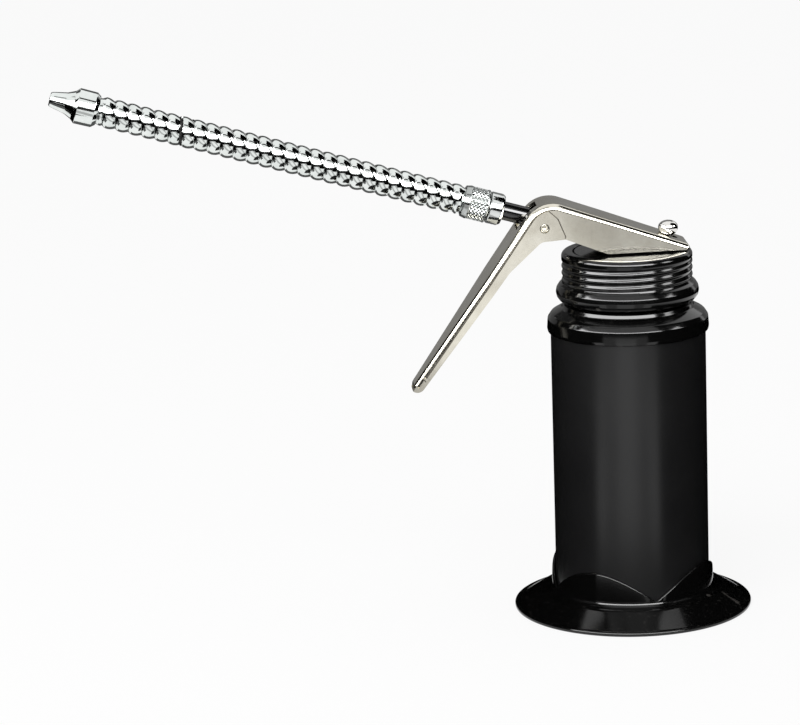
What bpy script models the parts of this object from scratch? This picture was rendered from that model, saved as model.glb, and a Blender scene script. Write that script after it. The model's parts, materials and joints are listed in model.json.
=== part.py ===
"""Pump oil can with a squeeze lever and a flexible metal spout.

The origin lies on the can's axis at the floor, +Z is up, and the spout runs
in the XZ plane towards -X and upwards. Lengths are metres, angles degrees.
"""
import math

import bmesh
import bpy
from mathutils import Matrix, Vector

# Fits and cuts shared by every piece
SEAT_GAP = 0.0003
RUNNING_GAP = 0.00015
OVERRUN = 0.002
WELD_DISTANCE = 0.000004
ROUND_STEPS = 36
SPOUT_STEPS = 28
SMALL_STEPS = 16
SMOOTH_ANGLE = 38.0

# Base pan: a pressed dish whose scalloped collar hugs the body
PAN_RADIUS = 0.0413
PAN_SHEET = 0.001
PAN_RIM_HEIGHT = 0.0013
PAN_RISE = 0.0058
PAN_FLOOR_RADIUS = 0.0245
PAN_NOTCH_HEIGHT = 0.0080
PAN_SCALLOP_RISE = 0.0098
PAN_SCALLOPS = 4
PAN_NOTCH_ANGLE = 10.0
PAN_FILLET = 0.0012
PAN_STEPS = 60

# Can body and its bottom end
BODY_RADIUS = 0.0267
BODY_WALL = 0.0008
BODY_TOP = 0.1030
BOTTOM_END_SHEET = 0.0008
BOTTOM_END_SKIRT = 0.0035

# Can top: seam ring, shoulder and threaded neck
RING_SHEET = 0.0007
RING_BEAD = 0.00015
RING_BOTTOM = 0.0982
RING_TOP = 0.1044
SHOULDER_RISE = 0.0040
SHOULDER_RADIUS = 0.0218
TOP_SHEET = 0.0008
NECK_RADIUS = 0.02125
NECK_BORE = 0.0196
NECK_TOP = 0.1216
THREAD_PITCH = 0.0024
THREAD_DEPTH = 0.0008
THREAD_ROWS = 4
NECK_THREAD_TURNS = 4.2
THREAD_FADE = 0.0011

# Screw cap: a pressed union nut with a rolled thread and a bulging skirt
THREAD_GAP = 0.00045
CAP_SHEET = 0.0008
CAP_TOP = 0.1263
CAP_LIP = 0.0010
CAP_HOLE = 0.0186
CAP_EDGE_ROUND = 0.0016
SKIRT_RADIUS = 0.0246
SKIRT_BOTTOM = 0.1090
SKIRT_TOP = 0.1155
CAP_THREAD_TURNS = 3.5

# Sealing ring between neck and pump head
GASKET_HEIGHT = 0.0012
GASKET_RADIUS = 0.0208

# Lever pivot, in the XZ plane
PIVOT_X = -0.0290
PIVOT_Z = 0.1367
PIVOT_PIN_RADIUS = 0.0015
PIVOT_PIN_DEPTH = 0.0045

# Spout axis: it leaves the pump head just above the pivot
SPOUT_RISE = 16.5
SPOUT_ABOVE_PIVOT = 0.0011

# Pump head: plate, spigot, rod boss, slanted arm and nose
HEAD_FLANGE_RADIUS = 0.0212
HEAD_PLATE_RADIUS = 0.0183
HEAD_PLATE_TOP = 0.1261
HEAD_SPIGOT_DEPTH = 0.0040
NOSE_RADIUS = 0.0048
NOSE_HALF_WIDTH = 0.0077
ARM_HALF_WIDTH = 0.0060
ARM_ROOT_FRONT = -0.0060
ARM_UNDER_RISE = 0.0017
ARM_ROOT_TOP = 0.0021
PASSAGE_RADIUS = 0.0007
PASSAGE_X = 0.0112
SPOUT_SOCKET_START = 0.0022

# Lever: a pressed channel bent over the nose
LEVER_SHEET = 0.0010
LEVER_BEND = 0.0022
LEVER_REAR_BEND = 0.0012
LEVER_HALF_WIDTH = 0.0093
LEVER_TIP_HALF_WIDTH = 0.0046
LEVER_REAR_HALF_WIDTH = 0.0078
LEVER_KNEE_AHEAD = 0.0011
LEVER_KNEE_ABOVE = 0.0103
LEVER_KNEE_RADIUS = 0.0105
TRIGGER_LEAN = 34.8
TRIGGER_LENGTH = 0.0802
TRIGGER_TIP_DEPTH = 0.0034
TRIGGER_GRIP_DEPTH = 0.0053
TRIGGER_GRIP_START = 0.0270
TRIGGER_TAPER_AHEAD = 0.0178
LEVER_TOP_SLOPE = 20.0
LEVER_REAR_REACH = 0.0500
LEVER_REAR_TAPER = 0.0275
LEVER_THROAT_DROP = 0.0048
LEVER_THROAT_REAR = 0.0072
LEVER_HEEL_REACH = 0.0215
LEVER_REST_GAP = 0.0005
LEVER_CORNER = 0.0016
LEVER_BEND_SEGMENTS = 3
LEVER_SWEEP = 6.0
LEVER_ROD_SLOT_HALF_WIDTH = 0.0026
LEVER_ROD_SLOT_HALF_LENGTH = 0.0034
LEVER_SQUEEZE = 15.0
TUBE_SLOT_SIDE_GAP = 0.0006
TUBE_SLOT_LOW_GAP = 0.0017

# Pump rod and its nut
ROD_X = 0.0144
ROD_RADIUS = 0.00125
ROD_NUT_RADIUS = 0.0034
ROD_NUT_DOME = 0.0023
ROD_NUT_THREAD = 0.0022
ROD_BOSS_RADIUS = 0.0036
ROD_BOSS_HEIGHT = 0.0010
SEAL_RADIUS = 0.0020
SEAL_HEIGHT = 0.0010
GLAND_HEIGHT = 0.0005

# Pump cylinder and what it holds
CYLINDER_RADIUS = 0.0042
CYLINDER_BORE = 0.0034
CYLINDER_LENGTH = 0.0520
CYLINDER_SEAT_DEPTH = 0.0052
BUSH_LENGTH = 0.0040
BUSH_FLUTES = 4
BUSH_FLUTE_DEPTH = 0.0010
BUSH_LAND_SHARE = 0.4
SPRING_RADIUS = 0.0025
SPRING_WIRE = 0.00035
SPRING_TURNS = 10
SPRING_TURN_POINTS = 8
PISTON_HEIGHT = 0.0030
PISTON_CUP_HEIGHT = 0.0022
PISTON_NUT_HEIGHT = 0.0014
PISTON_NUT_RADIUS = 0.0026
HEX_SIDES = 6
PISTON_REST_CLEARANCE = 0.0030
FOOT_PLUG_LENGTH = 0.0050
FOOT_FLANGE_HEIGHT = 0.0016
FOOT_STUB_LENGTH = 0.0050
FOOT_STUB_RADIUS = 0.0022
FOOT_BORE = 0.0011
BALL_RADIUS = 0.0016
BALL_CHAMBER_RADIUS = 0.0023
BALL_CHAMBER_DEPTH = 0.0034
BALL_LIP_RADIUS = 0.0013
BALL_LIP_HEIGHT = 0.0005
DIP_TUBE_RADIUS = 0.0031
DIP_TUBE_WALL = 0.0007
DIP_TUBE_FLOOR_GAP = 0.0035

# Outlet tube, collar, ferrule, hose and nozzle, measured along the spout axis
TUBE_RADIUS = 0.0032
TUBE_BORE = 0.0020
TUBE_START = 0.0025
TUBE_SHANK_RADIUS = 0.0024
TUBE_SHOULDER = 0.0051
COLLAR_START = 0.0141
COLLAR_LENGTH = 0.0049
COLLAR_RADIUS = 0.0055
FERRULE_LENGTH = 0.0087
FERRULE_RADIUS = 0.00575
FERRULE_CHAMFER = 0.0008
FERRULE_STOP = 0.0032
KNURL_TEETH = 24
KNURL_DEPTH = 0.00022
HOSE_LENGTH = 0.1375
HOSE_RADIUS = 0.0052
HOSE_GROOVE_DEPTH = 0.0007
HOSE_BORE = 0.0036
HOSE_RIB_PITCH = 0.00454
HOSE_SOCKET_RADIUS = 0.00555
NOZZLE_SOCKET_DEPTH = 0.0050
NOZZLE_LENGTH = 0.0168
NOZZLE_RADIUS = 0.0061
NOZZLE_BODY_LENGTH = 0.0072
NOZZLE_FLARE_LENGTH = 0.0032
NOZZLE_WAIST_RADIUS = 0.0037
NOZZLE_TIP_RADIUS = 0.0025
NOZZLE_BORE = 0.0009

# Places worked out from the sizes above
PAN_COLLAR_BORE = BODY_RADIUS + SEAT_GAP
RING_RADIUS = BODY_RADIUS + SEAT_GAP + RING_SHEET
BODY_BOTTOM = PAN_SHEET + SEAT_GAP
GASKET_BOTTOM = NECK_TOP + SEAT_GAP
HEAD_FLANGE_BOTTOM = GASKET_BOTTOM + GASKET_HEIGHT + SEAT_GAP
HEAD_FLANGE_TOP = CAP_TOP - CAP_LIP - SEAT_GAP
SPIGOT_BOTTOM = HEAD_FLANGE_BOTTOM - HEAD_SPIGOT_DEPTH
CYLINDER_TOP = SPIGOT_BOTTOM + CYLINDER_SEAT_DEPTH
CYLINDER_BOTTOM = CYLINDER_TOP - CYLINDER_LENGTH
ROD_BOSS_TOP = HEAD_PLATE_TOP + ROD_BOSS_HEIGHT
FOOT_TOP = CYLINDER_BOTTOM + FOOT_PLUG_LENGTH
PISTON_NUT_BOTTOM = FOOT_TOP + PISTON_REST_CLEARANCE
PISTON_CUP_BOTTOM = PISTON_NUT_BOTTOM + PISTON_NUT_HEIGHT + SEAT_GAP
PISTON_BOTTOM = PISTON_CUP_BOTTOM + PISTON_CUP_HEIGHT + SEAT_GAP
PISTON_TOP = PISTON_BOTTOM + PISTON_HEIGHT
BUSH_BOTTOM = CYLINDER_TOP - BUSH_LENGTH
FERRULE_START = COLLAR_START + COLLAR_LENGTH + SEAT_GAP
HOSE_START = FERRULE_START + FERRULE_STOP + SEAT_GAP
HOSE_END = HOSE_START + HOSE_LENGTH
NOZZLE_START = HOSE_END + SEAT_GAP - NOZZLE_SOCKET_DEPTH
LEVER_SLOPE = math.tan(math.radians(LEVER_TOP_SLOPE))
KNEE = (PIVOT_X - LEVER_KNEE_AHEAD, PIVOT_Z + LEVER_KNEE_ABOVE)
WEB_AT_ROD = KNEE[1] - (ROD_X - KNEE[0]) * LEVER_SLOPE
ROD_NUT_CENTRE = WEB_AT_ROD + math.sqrt(
    (ROD_NUT_RADIUS + SEAT_GAP) ** 2 - LEVER_ROD_SLOT_HALF_WIDTH ** 2
) / math.cos(math.radians(LEVER_TOP_SLOPE))


def clear_scene():
    """Remove whatever the file holds."""
    for old in list(bpy.data.objects):
        bpy.data.objects.remove(old, do_unlink=True)


def make_material(name, colour, roughness, metallic):
    """Return a Principled material with one plain colour."""
    material = bpy.data.materials.new(name)
    material.use_nodes = True
    shader = material.node_tree.nodes["Principled BSDF"]
    shader.inputs["Base Color"].default_value = (*colour, 1.0)
    shader.inputs["Roughness"].default_value = roughness
    shader.inputs["Metallic"].default_value = metallic
    material.diffuse_color = (*colour, 1.0)
    return material


def place(mesh_bm, name, material, parent=None):
    """Turn a bmesh into a named object with its material."""
    bmesh.ops.recalc_face_normals(mesh_bm, faces=mesh_bm.faces)
    mesh = bpy.data.meshes.new(name)
    mesh_bm.to_mesh(mesh)
    mesh_bm.free()
    mesh.shade_smooth()
    mesh.set_sharp_from_angle(angle=math.radians(SMOOTH_ANGLE))
    piece = bpy.data.objects.new(name, mesh)
    bpy.context.collection.objects.link(piece)
    if material is not None:
        mesh.materials.append(material)
    piece.parent = parent
    return piece


def make_cutter(piece):
    """Mark an object as a cutter, which the build leaves out."""
    piece.hide_render = True
    piece.display_type = "WIRE"
    return piece


def combine(target, tool, operation):
    """Add an exact Boolean modifier to the target."""
    modifier = target.modifiers.new(tool.name, "BOOLEAN")
    modifier.operation = operation
    modifier.solver = "EXACT"
    modifier.object = make_cutter(tool)
    weld = target.modifiers.new("weld", "WELD")
    weld.merge_threshold = WELD_DISTANCE
    return target


def empty(name, position, pitch=0.0):
    """Add an empty that carries pieces, tipped about Y by the given degrees."""
    carrier = bpy.data.objects.new(name, None)
    carrier.location = position
    carrier.rotation_euler = (0.0, math.radians(pitch), 0.0)
    bpy.context.collection.objects.link(carrier)
    return carrier


def arc(centre, radius, start, stop, count):
    """Return points on an arc between two angles in degrees, both ends included."""
    points = []
    for step in range(count + 1):
        angle = math.radians(start + (stop - start) * step / count)
        points.append((centre[0] + radius * math.cos(angle), centre[1] + radius * math.sin(angle)))
    return points


def rounded(corners, step_angle):
    """Round an outline's corners: each is (x, z, radius), and a zero radius stays sharp."""
    outline = []
    for index, (x, z, radius) in enumerate(corners):
        corner = Vector((x, z))
        if radius == 0.0:
            outline.append((x, z))
            continue
        before = Vector(corners[index - 1][:2]) - corner
        after = Vector(corners[(index + 1) % len(corners)][:2]) - corner
        before.normalize()
        after.normalize()
        opening = before.angle(after)
        setback = radius / math.tan(opening / 2)
        start = corner + before * setback
        middle = (before + after).normalized()
        centre = corner + middle * (radius / math.sin(opening / 2))
        spoke = start - centre
        turn = math.pi - opening
        sense = 1.0 if before.x * after.y - before.y * after.x < 0 else -1.0
        count = max(1, round(math.degrees(turn) / step_angle))
        for step in range(count + 1):
            swing = Matrix.Rotation(sense * turn * step / count, 2)
            point = centre + swing @ spoke
            outline.append((point.x, point.y))
    return outline


def quarter_ellipse(centre, reach, angles):
    """Return points of an ellipse about a centre, at angles in degrees from its top."""
    return [
        (centre[0] + reach[0] * math.sin(math.radians(angle)),
         centre[1] + reach[1] * math.cos(math.radians(angle)))
        for angle in angles
    ]


def turned(name, profile, steps, material, parent=None, reshape=None, start_angle=0.0):
    """Spin a closed (radius, height) profile about Z; reshape may move each point."""
    mesh_bm = bmesh.new()
    corners = [mesh_bm.verts.new((radius, 0.0, height)) for radius, height in profile]
    edges = [
        mesh_bm.edges.new((corners[index - 1], corners[index]))
        for index in range(len(corners))
        if profile[index - 1][0] > 0 or profile[index][0] > 0
    ]
    bmesh.ops.spin(
        mesh_bm, geom=corners + edges, cent=(0, 0, 0), axis=(0, 0, 1),
        angle=math.tau, steps=steps, use_merge=True,
    )
    axis_points = [vert for vert in mesh_bm.verts if vert.co.xy.length < SEAT_GAP / ROUND_STEPS]
    bmesh.ops.remove_doubles(mesh_bm, verts=axis_points, dist=SEAT_GAP / ROUND_STEPS)
    bmesh.ops.rotate(
        mesh_bm, verts=mesh_bm.verts, cent=(0, 0, 0),
        matrix=Matrix.Rotation(math.radians(start_angle), 3, "Z"),
    )
    if reshape is not None:
        for vert in mesh_bm.verts:
            angle = math.atan2(vert.co.y, vert.co.x)
            radius, height = reshape(vert.co.xy.length, angle, vert.co.z)
            vert.co = (radius * math.cos(angle), radius * math.sin(angle), height)
    return place(mesh_bm, name, material, parent)


def ring_profile(inner, outer, bottom, top, edge=0.0):
    """Return a rectangular ring section whose outer edges may be rounded."""
    return rounded(
        [(inner, bottom, 0.0), (outer, bottom, edge), (outer, top, edge), (inner, top, 0.0)], 30.0
    )


def slab(name, outline, half_width, material=None):
    """Extrude an XZ outline along Y to both sides."""
    mesh_bm = bmesh.new()
    face = mesh_bm.faces.new([mesh_bm.verts.new((x, -half_width, z)) for x, z in outline])
    grown = bmesh.ops.extrude_face_region(mesh_bm, geom=[face])
    far_side = [item for item in grown["geom"] if isinstance(item, bmesh.types.BMVert)]
    bmesh.ops.translate(mesh_bm, verts=far_side, vec=(0, half_width * 2, 0))
    return place(mesh_bm, name, material)


def rod_between(name, start, end, radius, steps, material=None):
    """Add a solid round bar between two points."""
    axis = Vector(end) - Vector(start)
    profile = [(0.0, 0.0), (radius, 0.0), (radius, axis.length), (0.0, axis.length)]
    bar = turned(name, profile, steps, material)
    bar.location = start
    bar.rotation_euler = axis.to_track_quat("Z", "Y").to_euler()
    return bar


def wave(angle, height):
    """Right-hand thread wave: 1 on the crest and 0 in the groove."""
    phase = height / THREAD_PITCH - angle / math.tau
    return 0.5 + 0.5 * math.cos(math.tau * phase)


def thread_rows(bottom, turns):
    """Return the heights of a thread zone's rows, bottom to top."""
    count = round(turns * THREAD_ROWS)
    return [bottom + THREAD_PITCH * row / THREAD_ROWS for row in range(count + 1)]


def fade(height, rows):
    """Run the thread out to nothing at both ends of its zone."""
    inside = min(height - rows[0], rows[-1] - height)
    return min(max(inside / THREAD_FADE, 0.0), 1.0)


def build_base(paint):
    """Base pan with its scalloped collar."""
    collar_outer = PAN_COLLAR_BORE + PAN_SHEET
    peak = PAN_NOTCH_HEIGHT + PAN_SCALLOP_RISE
    under = PAN_SHEET
    lip = PAN_SHEET / 2
    profile = [
        (0.0, 0.0), (PAN_FLOOR_RADIUS, 0.0),
        (collar_outer - PAN_SHEET, PAN_RISE - under - PAN_SHEET),
        (collar_outer + PAN_FILLET, PAN_RISE - under),
        (PAN_RADIUS - PAN_SHEET - lip, lip), (PAN_RADIUS - PAN_SHEET, 0.0),
        (PAN_RADIUS - lip / 2, 0.0), (PAN_RADIUS, lip / 2), (PAN_RADIUS, PAN_RIM_HEIGHT - lip),
        (PAN_RADIUS - lip / 2, PAN_RIM_HEIGHT), (PAN_RADIUS - PAN_SHEET, PAN_RIM_HEIGHT + lip / 2),
    ]
    slope_top = PAN_RISE + PAN_SHEET - PAN_FILLET
    profile += [
        (collar_outer + PAN_FILLET, slope_top),
        (collar_outer + PAN_FILLET / 3, slope_top + PAN_FILLET / 3),
        (collar_outer, slope_top + PAN_FILLET),
        (collar_outer, peak - PAN_SHEET / 4), (collar_outer - PAN_SHEET / 4, peak),
        (PAN_COLLAR_BORE + PAN_SHEET / 4, peak), (PAN_COLLAR_BORE, peak - PAN_SHEET / 4),
        (PAN_COLLAR_BORE, PAN_SHEET), (0.0, PAN_SHEET),
    ]

    def scallop(radius, angle, height):
        if height > peak - PAN_SHEET / 2:
            turn = (angle - math.radians(PAN_NOTCH_ANGLE)) * PAN_SCALLOPS / 2
            height -= PAN_SCALLOP_RISE * (1 - abs(math.sin(turn)))
        return radius, height

    return turned("base_pan", profile, PAN_STEPS, paint, reshape=scallop, start_angle=PAN_NOTCH_ANGLE)


def build_body(paint):
    """Can body, an open tube, with the pressed bottom end inside it."""
    inner = BODY_RADIUS - BODY_WALL
    turned("can_body", ring_profile(inner, BODY_RADIUS, BODY_BOTTOM, BODY_TOP), ROUND_STEPS, paint)
    rim = inner - SEAT_GAP
    skirt_bore = rim - BOTTOM_END_SHEET
    floor = BODY_BOTTOM + BOTTOM_END_SHEET
    corners = [
        (0.0, BODY_BOTTOM, 0.0), (rim, BODY_BOTTOM, BOTTOM_END_SHEET / 2),
        (rim, BODY_BOTTOM + BOTTOM_END_SKIRT, 0.0), (skirt_bore, BODY_BOTTOM + BOTTOM_END_SKIRT, 0.0),
        (skirt_bore, floor, 0.0), (0.0, floor, 0.0),
    ]
    turned("can_bottom", rounded(corners, 90.0), ROUND_STEPS, paint)


def build_top(paint):
    """Can top: seam ring, shoulder and threaded neck in one pressing."""
    ring_bore = BODY_RADIUS + SEAT_GAP
    body_bore = BODY_RADIUS - BODY_WALL - SEAT_GAP
    groove_top = BODY_TOP + SEAT_GAP
    edge = TOP_SHEET / 2
    rows = thread_rows(NECK_TOP - THREAD_PITCH * NECK_THREAD_TURNS - TOP_SHEET, NECK_THREAD_TURNS)
    root = NECK_RADIUS - THREAD_DEPTH
    crown = RING_TOP + SHOULDER_RISE
    shoulder = quarter_ellipse(
        (SHOULDER_RADIUS, RING_TOP), (RING_RADIUS - SHOULDER_RADIUS, SHOULDER_RISE), (90, 72, 54, 36, 18, 0)
    )
    under_start = SHOULDER_RADIUS - TOP_SHEET
    under = quarter_ellipse(
        (under_start, groove_top), (body_bore - under_start, crown - TOP_SHEET - groove_top), (45, 68, 90)
    )
    middle = (RING_BOTTOM + RING_TOP) / 2
    profile = [
        (ring_bore, RING_BOTTOM), (RING_RADIUS - edge, RING_BOTTOM - edge / 2),
        (RING_RADIUS, RING_BOTTOM + edge), (RING_RADIUS + RING_BEAD, RING_BOTTOM + edge * 3),
        (RING_RADIUS, middle),
    ]
    profile += shoulder
    profile += [(root + edge, crown + edge), (root, rows[0] - TOP_SHEET / 2)]
    profile += [(root, height) for height in rows]
    profile += [(root, NECK_TOP - edge), (root - edge, NECK_TOP), (NECK_BORE, NECK_TOP)]
    profile += [(NECK_BORE, crown), (under_start, crown - TOP_SHEET)]
    profile += under
    profile += [(ring_bore, groove_top)]

    def thread(radius, angle, height):
        if radius > root - edge / 2 and height > rows[0] - edge / 4:
            radius += THREAD_DEPTH * fade(height, rows) * wave(angle, height)
        return radius, height

    turned("can_top", profile, ROUND_STEPS, paint, reshape=thread)
    gasket = ring_profile(NECK_BORE, GASKET_RADIUS, GASKET_BOTTOM, GASKET_BOTTOM + GASKET_HEIGHT)
    return gasket


def build_cap(paint):
    """Screw cap with its rolled thread, bulging skirt and turned-in lip."""
    bore = NECK_RADIUS + THREAD_GAP
    outer = bore + CAP_SHEET
    rows = thread_rows(SKIRT_TOP, CAP_THREAD_TURNS)
    swell = SKIRT_RADIUS - outer
    height = SKIRT_TOP - SKIRT_BOTTOM
    skirt_shares = ((-0.02, 0.0), (0.5, 0.1), (0.86, 0.27), (1.0, 0.48), (0.88, 0.7), (0.5, 0.9))
    skirt = [(outer + swell * out, SKIRT_BOTTOM + height * up) for out, up in skirt_shares]
    inner_skirt = [(radius - CAP_SHEET, z) for radius, z in skirt]
    edge_arc = arc((outer - CAP_EDGE_ROUND, CAP_TOP - CAP_EDGE_ROUND), CAP_EDGE_ROUND, 0, 90, 4)
    profile = list(skirt)
    profile += [(outer, z) for z in rows]
    profile += edge_arc
    profile += [(CAP_HOLE, CAP_TOP), (CAP_HOLE, CAP_TOP - CAP_LIP), (bore, CAP_TOP - CAP_LIP)]
    profile += [(bore, z) for z in reversed(rows)]
    profile += list(reversed(inner_skirt))

    def thread(radius, angle, z):
        if rows[0] - SEAT_GAP / 4 < z < rows[-1] + SEAT_GAP / 4 and radius > bore - SEAT_GAP:
            radius -= THREAD_DEPTH * fade(z, rows) * (1 - wave(angle, z))
        return radius, z

    return turned("screw_cap", profile, ROUND_STEPS, paint, reshape=thread)


def build_head(cast, steel):
    """Pump head casting, its passages and the two pivot pins."""
    nose = (PIVOT_X, PIVOT_Z)
    plate_profile = [
        (0.0, SPIGOT_BOTTOM), (NECK_BORE - SEAT_GAP, SPIGOT_BOTTOM),
        (NECK_BORE - SEAT_GAP, HEAD_FLANGE_BOTTOM), (HEAD_FLANGE_RADIUS, HEAD_FLANGE_BOTTOM),
        (HEAD_FLANGE_RADIUS, HEAD_FLANGE_TOP), (HEAD_PLATE_RADIUS, HEAD_FLANGE_TOP),
        (HEAD_PLATE_RADIUS, HEAD_PLATE_TOP - SEAT_GAP), (HEAD_PLATE_RADIUS - SEAT_GAP, HEAD_PLATE_TOP),
        (0.0, HEAD_PLATE_TOP),
    ]
    head = turned("pump_head", plate_profile, ROUND_STEPS, cast)
    throat_x = PIVOT_X + LEVER_THROAT_REAR
    heel_x = PIVOT_X + LEVER_HEEL_REACH
    under_root = CAP_TOP + LEVER_REST_GAP + ARM_UNDER_RISE
    root_z = (SPIGOT_BOTTOM + HEAD_PLATE_TOP) / 2
    arm_end = ROD_X - ROD_NUT_RADIUS / 2
    arm_outline = [
        (PIVOT_X, PIVOT_Z + NOSE_RADIUS), (PIVOT_X, PIVOT_Z - NOSE_RADIUS + SEAT_GAP),
        (throat_x, PIVOT_Z - LEVER_THROAT_DROP + SEAT_GAP * 4), (heel_x, under_root),
        (ARM_ROOT_FRONT, HEAD_PLATE_TOP + ARM_UNDER_RISE / 2), (ARM_ROOT_FRONT, root_z),
        (arm_end, root_z), (arm_end, HEAD_PLATE_TOP + ARM_UNDER_RISE / 4),
        (arm_end - ARM_ROOT_TOP, ROD_BOSS_TOP + SEAT_GAP),
        (arm_end - ARM_ROOT_TOP * 3, HEAD_PLATE_TOP + ARM_ROOT_TOP + ARM_UNDER_RISE / 2),
    ]
    arm = slab("add_arm", arm_outline, ARM_HALF_WIDTH)
    combine(head, arm, "UNION")
    boss = rod_between(
        "add_nose", (nose[0], -NOSE_HALF_WIDTH, nose[1]), (nose[0], NOSE_HALF_WIDTH, nose[1]),
        NOSE_RADIUS, SMALL_STEPS,
    )
    combine(head, boss, "UNION")
    rod_boss = rod_between(
        "add_rod_boss", (ROD_X, 0.0, root_z), (ROD_X, 0.0, ROD_BOSS_TOP), ROD_BOSS_RADIUS, SMALL_STEPS
    )
    combine(head, rod_boss, "UNION")

    pump_bore = turned(
        "cut_pump_bore", [
            (0.0, SPIGOT_BOTTOM - OVERRUN), (CYLINDER_RADIUS + RUNNING_GAP, SPIGOT_BOTTOM - OVERRUN),
            (CYLINDER_RADIUS + RUNNING_GAP, CYLINDER_TOP + SEAT_GAP),
            (ROD_RADIUS + RUNNING_GAP, CYLINDER_TOP + SEAT_GAP), (ROD_RADIUS + RUNNING_GAP, seal_floor()),
            (SEAL_RADIUS + RUNNING_GAP, seal_floor()), (SEAL_RADIUS + RUNNING_GAP, ROD_BOSS_TOP + OVERRUN),
            (0.0, ROD_BOSS_TOP + OVERRUN),
        ], SMALL_STEPS, None, empty("rod_boss_line", (ROD_X, 0.0, 0.0)),
    )
    combine(head, pump_bore, "DIFFERENCE")
    rise = math.radians(SPOUT_RISE)
    passage_end = (PIVOT_X - PASSAGE_X) / math.cos(rise)
    outlet_bore = turned(
        "cut_outlet_bore", [
            (0.0, passage_end), (PASSAGE_RADIUS, passage_end), (PASSAGE_RADIUS, SPOUT_SOCKET_START),
            (TUBE_SHANK_RADIUS + RUNNING_GAP, SPOUT_SOCKET_START),
            (TUBE_SHANK_RADIUS + RUNNING_GAP, NOSE_RADIUS * 2), (0.0, NOSE_RADIUS * 2),
        ], SMALL_STEPS, None, empty("outlet_line", spout_point(0.0), SPOUT_RISE - 90.0),
    )
    combine(head, outlet_bore, "DIFFERENCE")
    passage_z = spout_point(passage_end)[2]
    drilling = rod_between(
        "cut_drilling", (PASSAGE_X, 0.0, CYLINDER_TOP - SEAT_GAP), (PASSAGE_X, 0.0, passage_z + SEAT_GAP),
        PASSAGE_RADIUS - RUNNING_GAP, SMALL_STEPS // 2,
    )
    combine(head, drilling, "DIFFERENCE")
    for side, sign in (("near", -1.0), ("far", 1.0)):
        inner_y = sign * (LEVER_HALF_WIDTH - PIVOT_PIN_DEPTH)
        outer_y = sign * LEVER_HALF_WIDTH
        hole = rod_between(
            "cut_pin_" + side, (nose[0], inner_y - sign * SEAT_GAP, nose[1]), (nose[0], outer_y, nose[1]),
            PIVOT_PIN_RADIUS + RUNNING_GAP, SMALL_STEPS,
        )
        combine(head, hole, "DIFFERENCE")
        pin = rod_between(
            "pivot_pin_" + side, (nose[0], inner_y, nose[1]), (nose[0], outer_y, nose[1]),
            PIVOT_PIN_RADIUS, SMALL_STEPS, steel,
        )
        pin.data.shade_smooth()
    return head


def seal_floor():
    """Height of the floor under the rod seal."""
    return ROD_BOSS_TOP - GLAND_HEIGHT - SEAT_GAP - SEAL_HEIGHT


def spout_point(along):
    """World point on the spout axis at a distance from its start."""
    rise = math.radians(SPOUT_RISE)
    return (
        PIVOT_X - along * math.cos(rise), 0.0,
        PIVOT_Z + SPOUT_ABOVE_PIVOT + along * math.sin(rise),
    )


def lever_taper_places():
    """Where along X the lever starts to narrow, towards its tip and towards its rear."""
    return KNEE[0] - TRIGGER_TAPER_AHEAD, PIVOT_X + LEVER_REAR_REACH - LEVER_REAR_TAPER


def lever_half_width(x):
    """Half width of the lever across its plan: it narrows to the tip and to the rear."""
    tip_taper, rear_taper = lever_taper_places()
    tip_x = KNEE[0] - TRIGGER_LENGTH * math.sin(math.radians(TRIGGER_LEAN))
    to_tip = max((tip_taper - x) / (tip_taper - tip_x), 0.0)
    to_rear = max((x - rear_taper) / LEVER_REAR_TAPER, 0.0)
    half = LEVER_HALF_WIDTH - (LEVER_HALF_WIDTH - LEVER_TIP_HALF_WIDTH) * to_tip
    return half - (LEVER_HALF_WIDTH - LEVER_REAR_HALF_WIDTH) * to_rear


def lever_corners(inset, free_edge):
    """Corners of the lever's side outline; inset shrinks the web and ends, and
    free_edge lowers the open side, which turns the outline into its inside."""
    lean = math.radians(TRIGGER_LEAN)
    slope = math.radians(LEVER_TOP_SLOPE)
    down = Vector((-math.sin(lean), -math.cos(lean)))
    inward = Vector((math.cos(lean), -math.sin(lean)))
    back = Vector((math.cos(slope), -math.sin(slope)))
    below = Vector((-math.sin(slope), -math.cos(slope)))
    knee = Vector(KNEE)
    knee_angle = down.angle(back)
    knee_in = knee + (down + back).normalized() * (inset / math.sin(knee_angle / 2))
    web_tip = knee + down * (TRIGGER_LENGTH - inset) + inward * inset
    edge_tip = knee + down * (TRIGGER_LENGTH - inset) + inward * (TRIGGER_TIP_DEPTH + free_edge)
    tip_taper, rear_taper = lever_taper_places()
    web_taper = web_tip.lerp(knee_in, (tip_taper - web_tip.x) / (knee_in.x - web_tip.x))
    edge_grip = knee + down * TRIGGER_GRIP_START + inward * (TRIGGER_GRIP_DEPTH + free_edge)
    edge_taper = edge_tip.lerp(edge_grip, (tip_taper - edge_tip.x) / (edge_grip.x - edge_tip.x))
    rear_x = PIVOT_X + LEVER_REAR_REACH - inset
    rear_top = knee_in + back * ((rear_x - knee_in.x) / back.x)
    top_taper = knee_in + back * ((rear_taper - knee_in.x) / back.x)
    heel_z = CAP_TOP + LEVER_REST_GAP - free_edge
    throat_z = PIVOT_Z - LEVER_THROAT_DROP - free_edge
    sharp = 0.0
    return [
        (*web_tip, sharp), (*web_taper, sharp), (*knee_in, LEVER_KNEE_RADIUS - inset),
        (*top_taper, sharp), (*rear_top, sharp), (rear_x, heel_z, sharp),
        (rear_taper, heel_z, sharp), (PIVOT_X + LEVER_HEEL_REACH, heel_z, LEVER_CORNER * 2),
        (PIVOT_X + LEVER_THROAT_REAR, throat_z + SEAT_GAP * 2, LEVER_CORNER),
        (PIVOT_X - LEVER_KNEE_AHEAD, throat_z, LEVER_CORNER * 2),
        (*edge_grip, LEVER_CORNER * 5), (*edge_taper, sharp), (*edge_tip, sharp),
    ]


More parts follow.
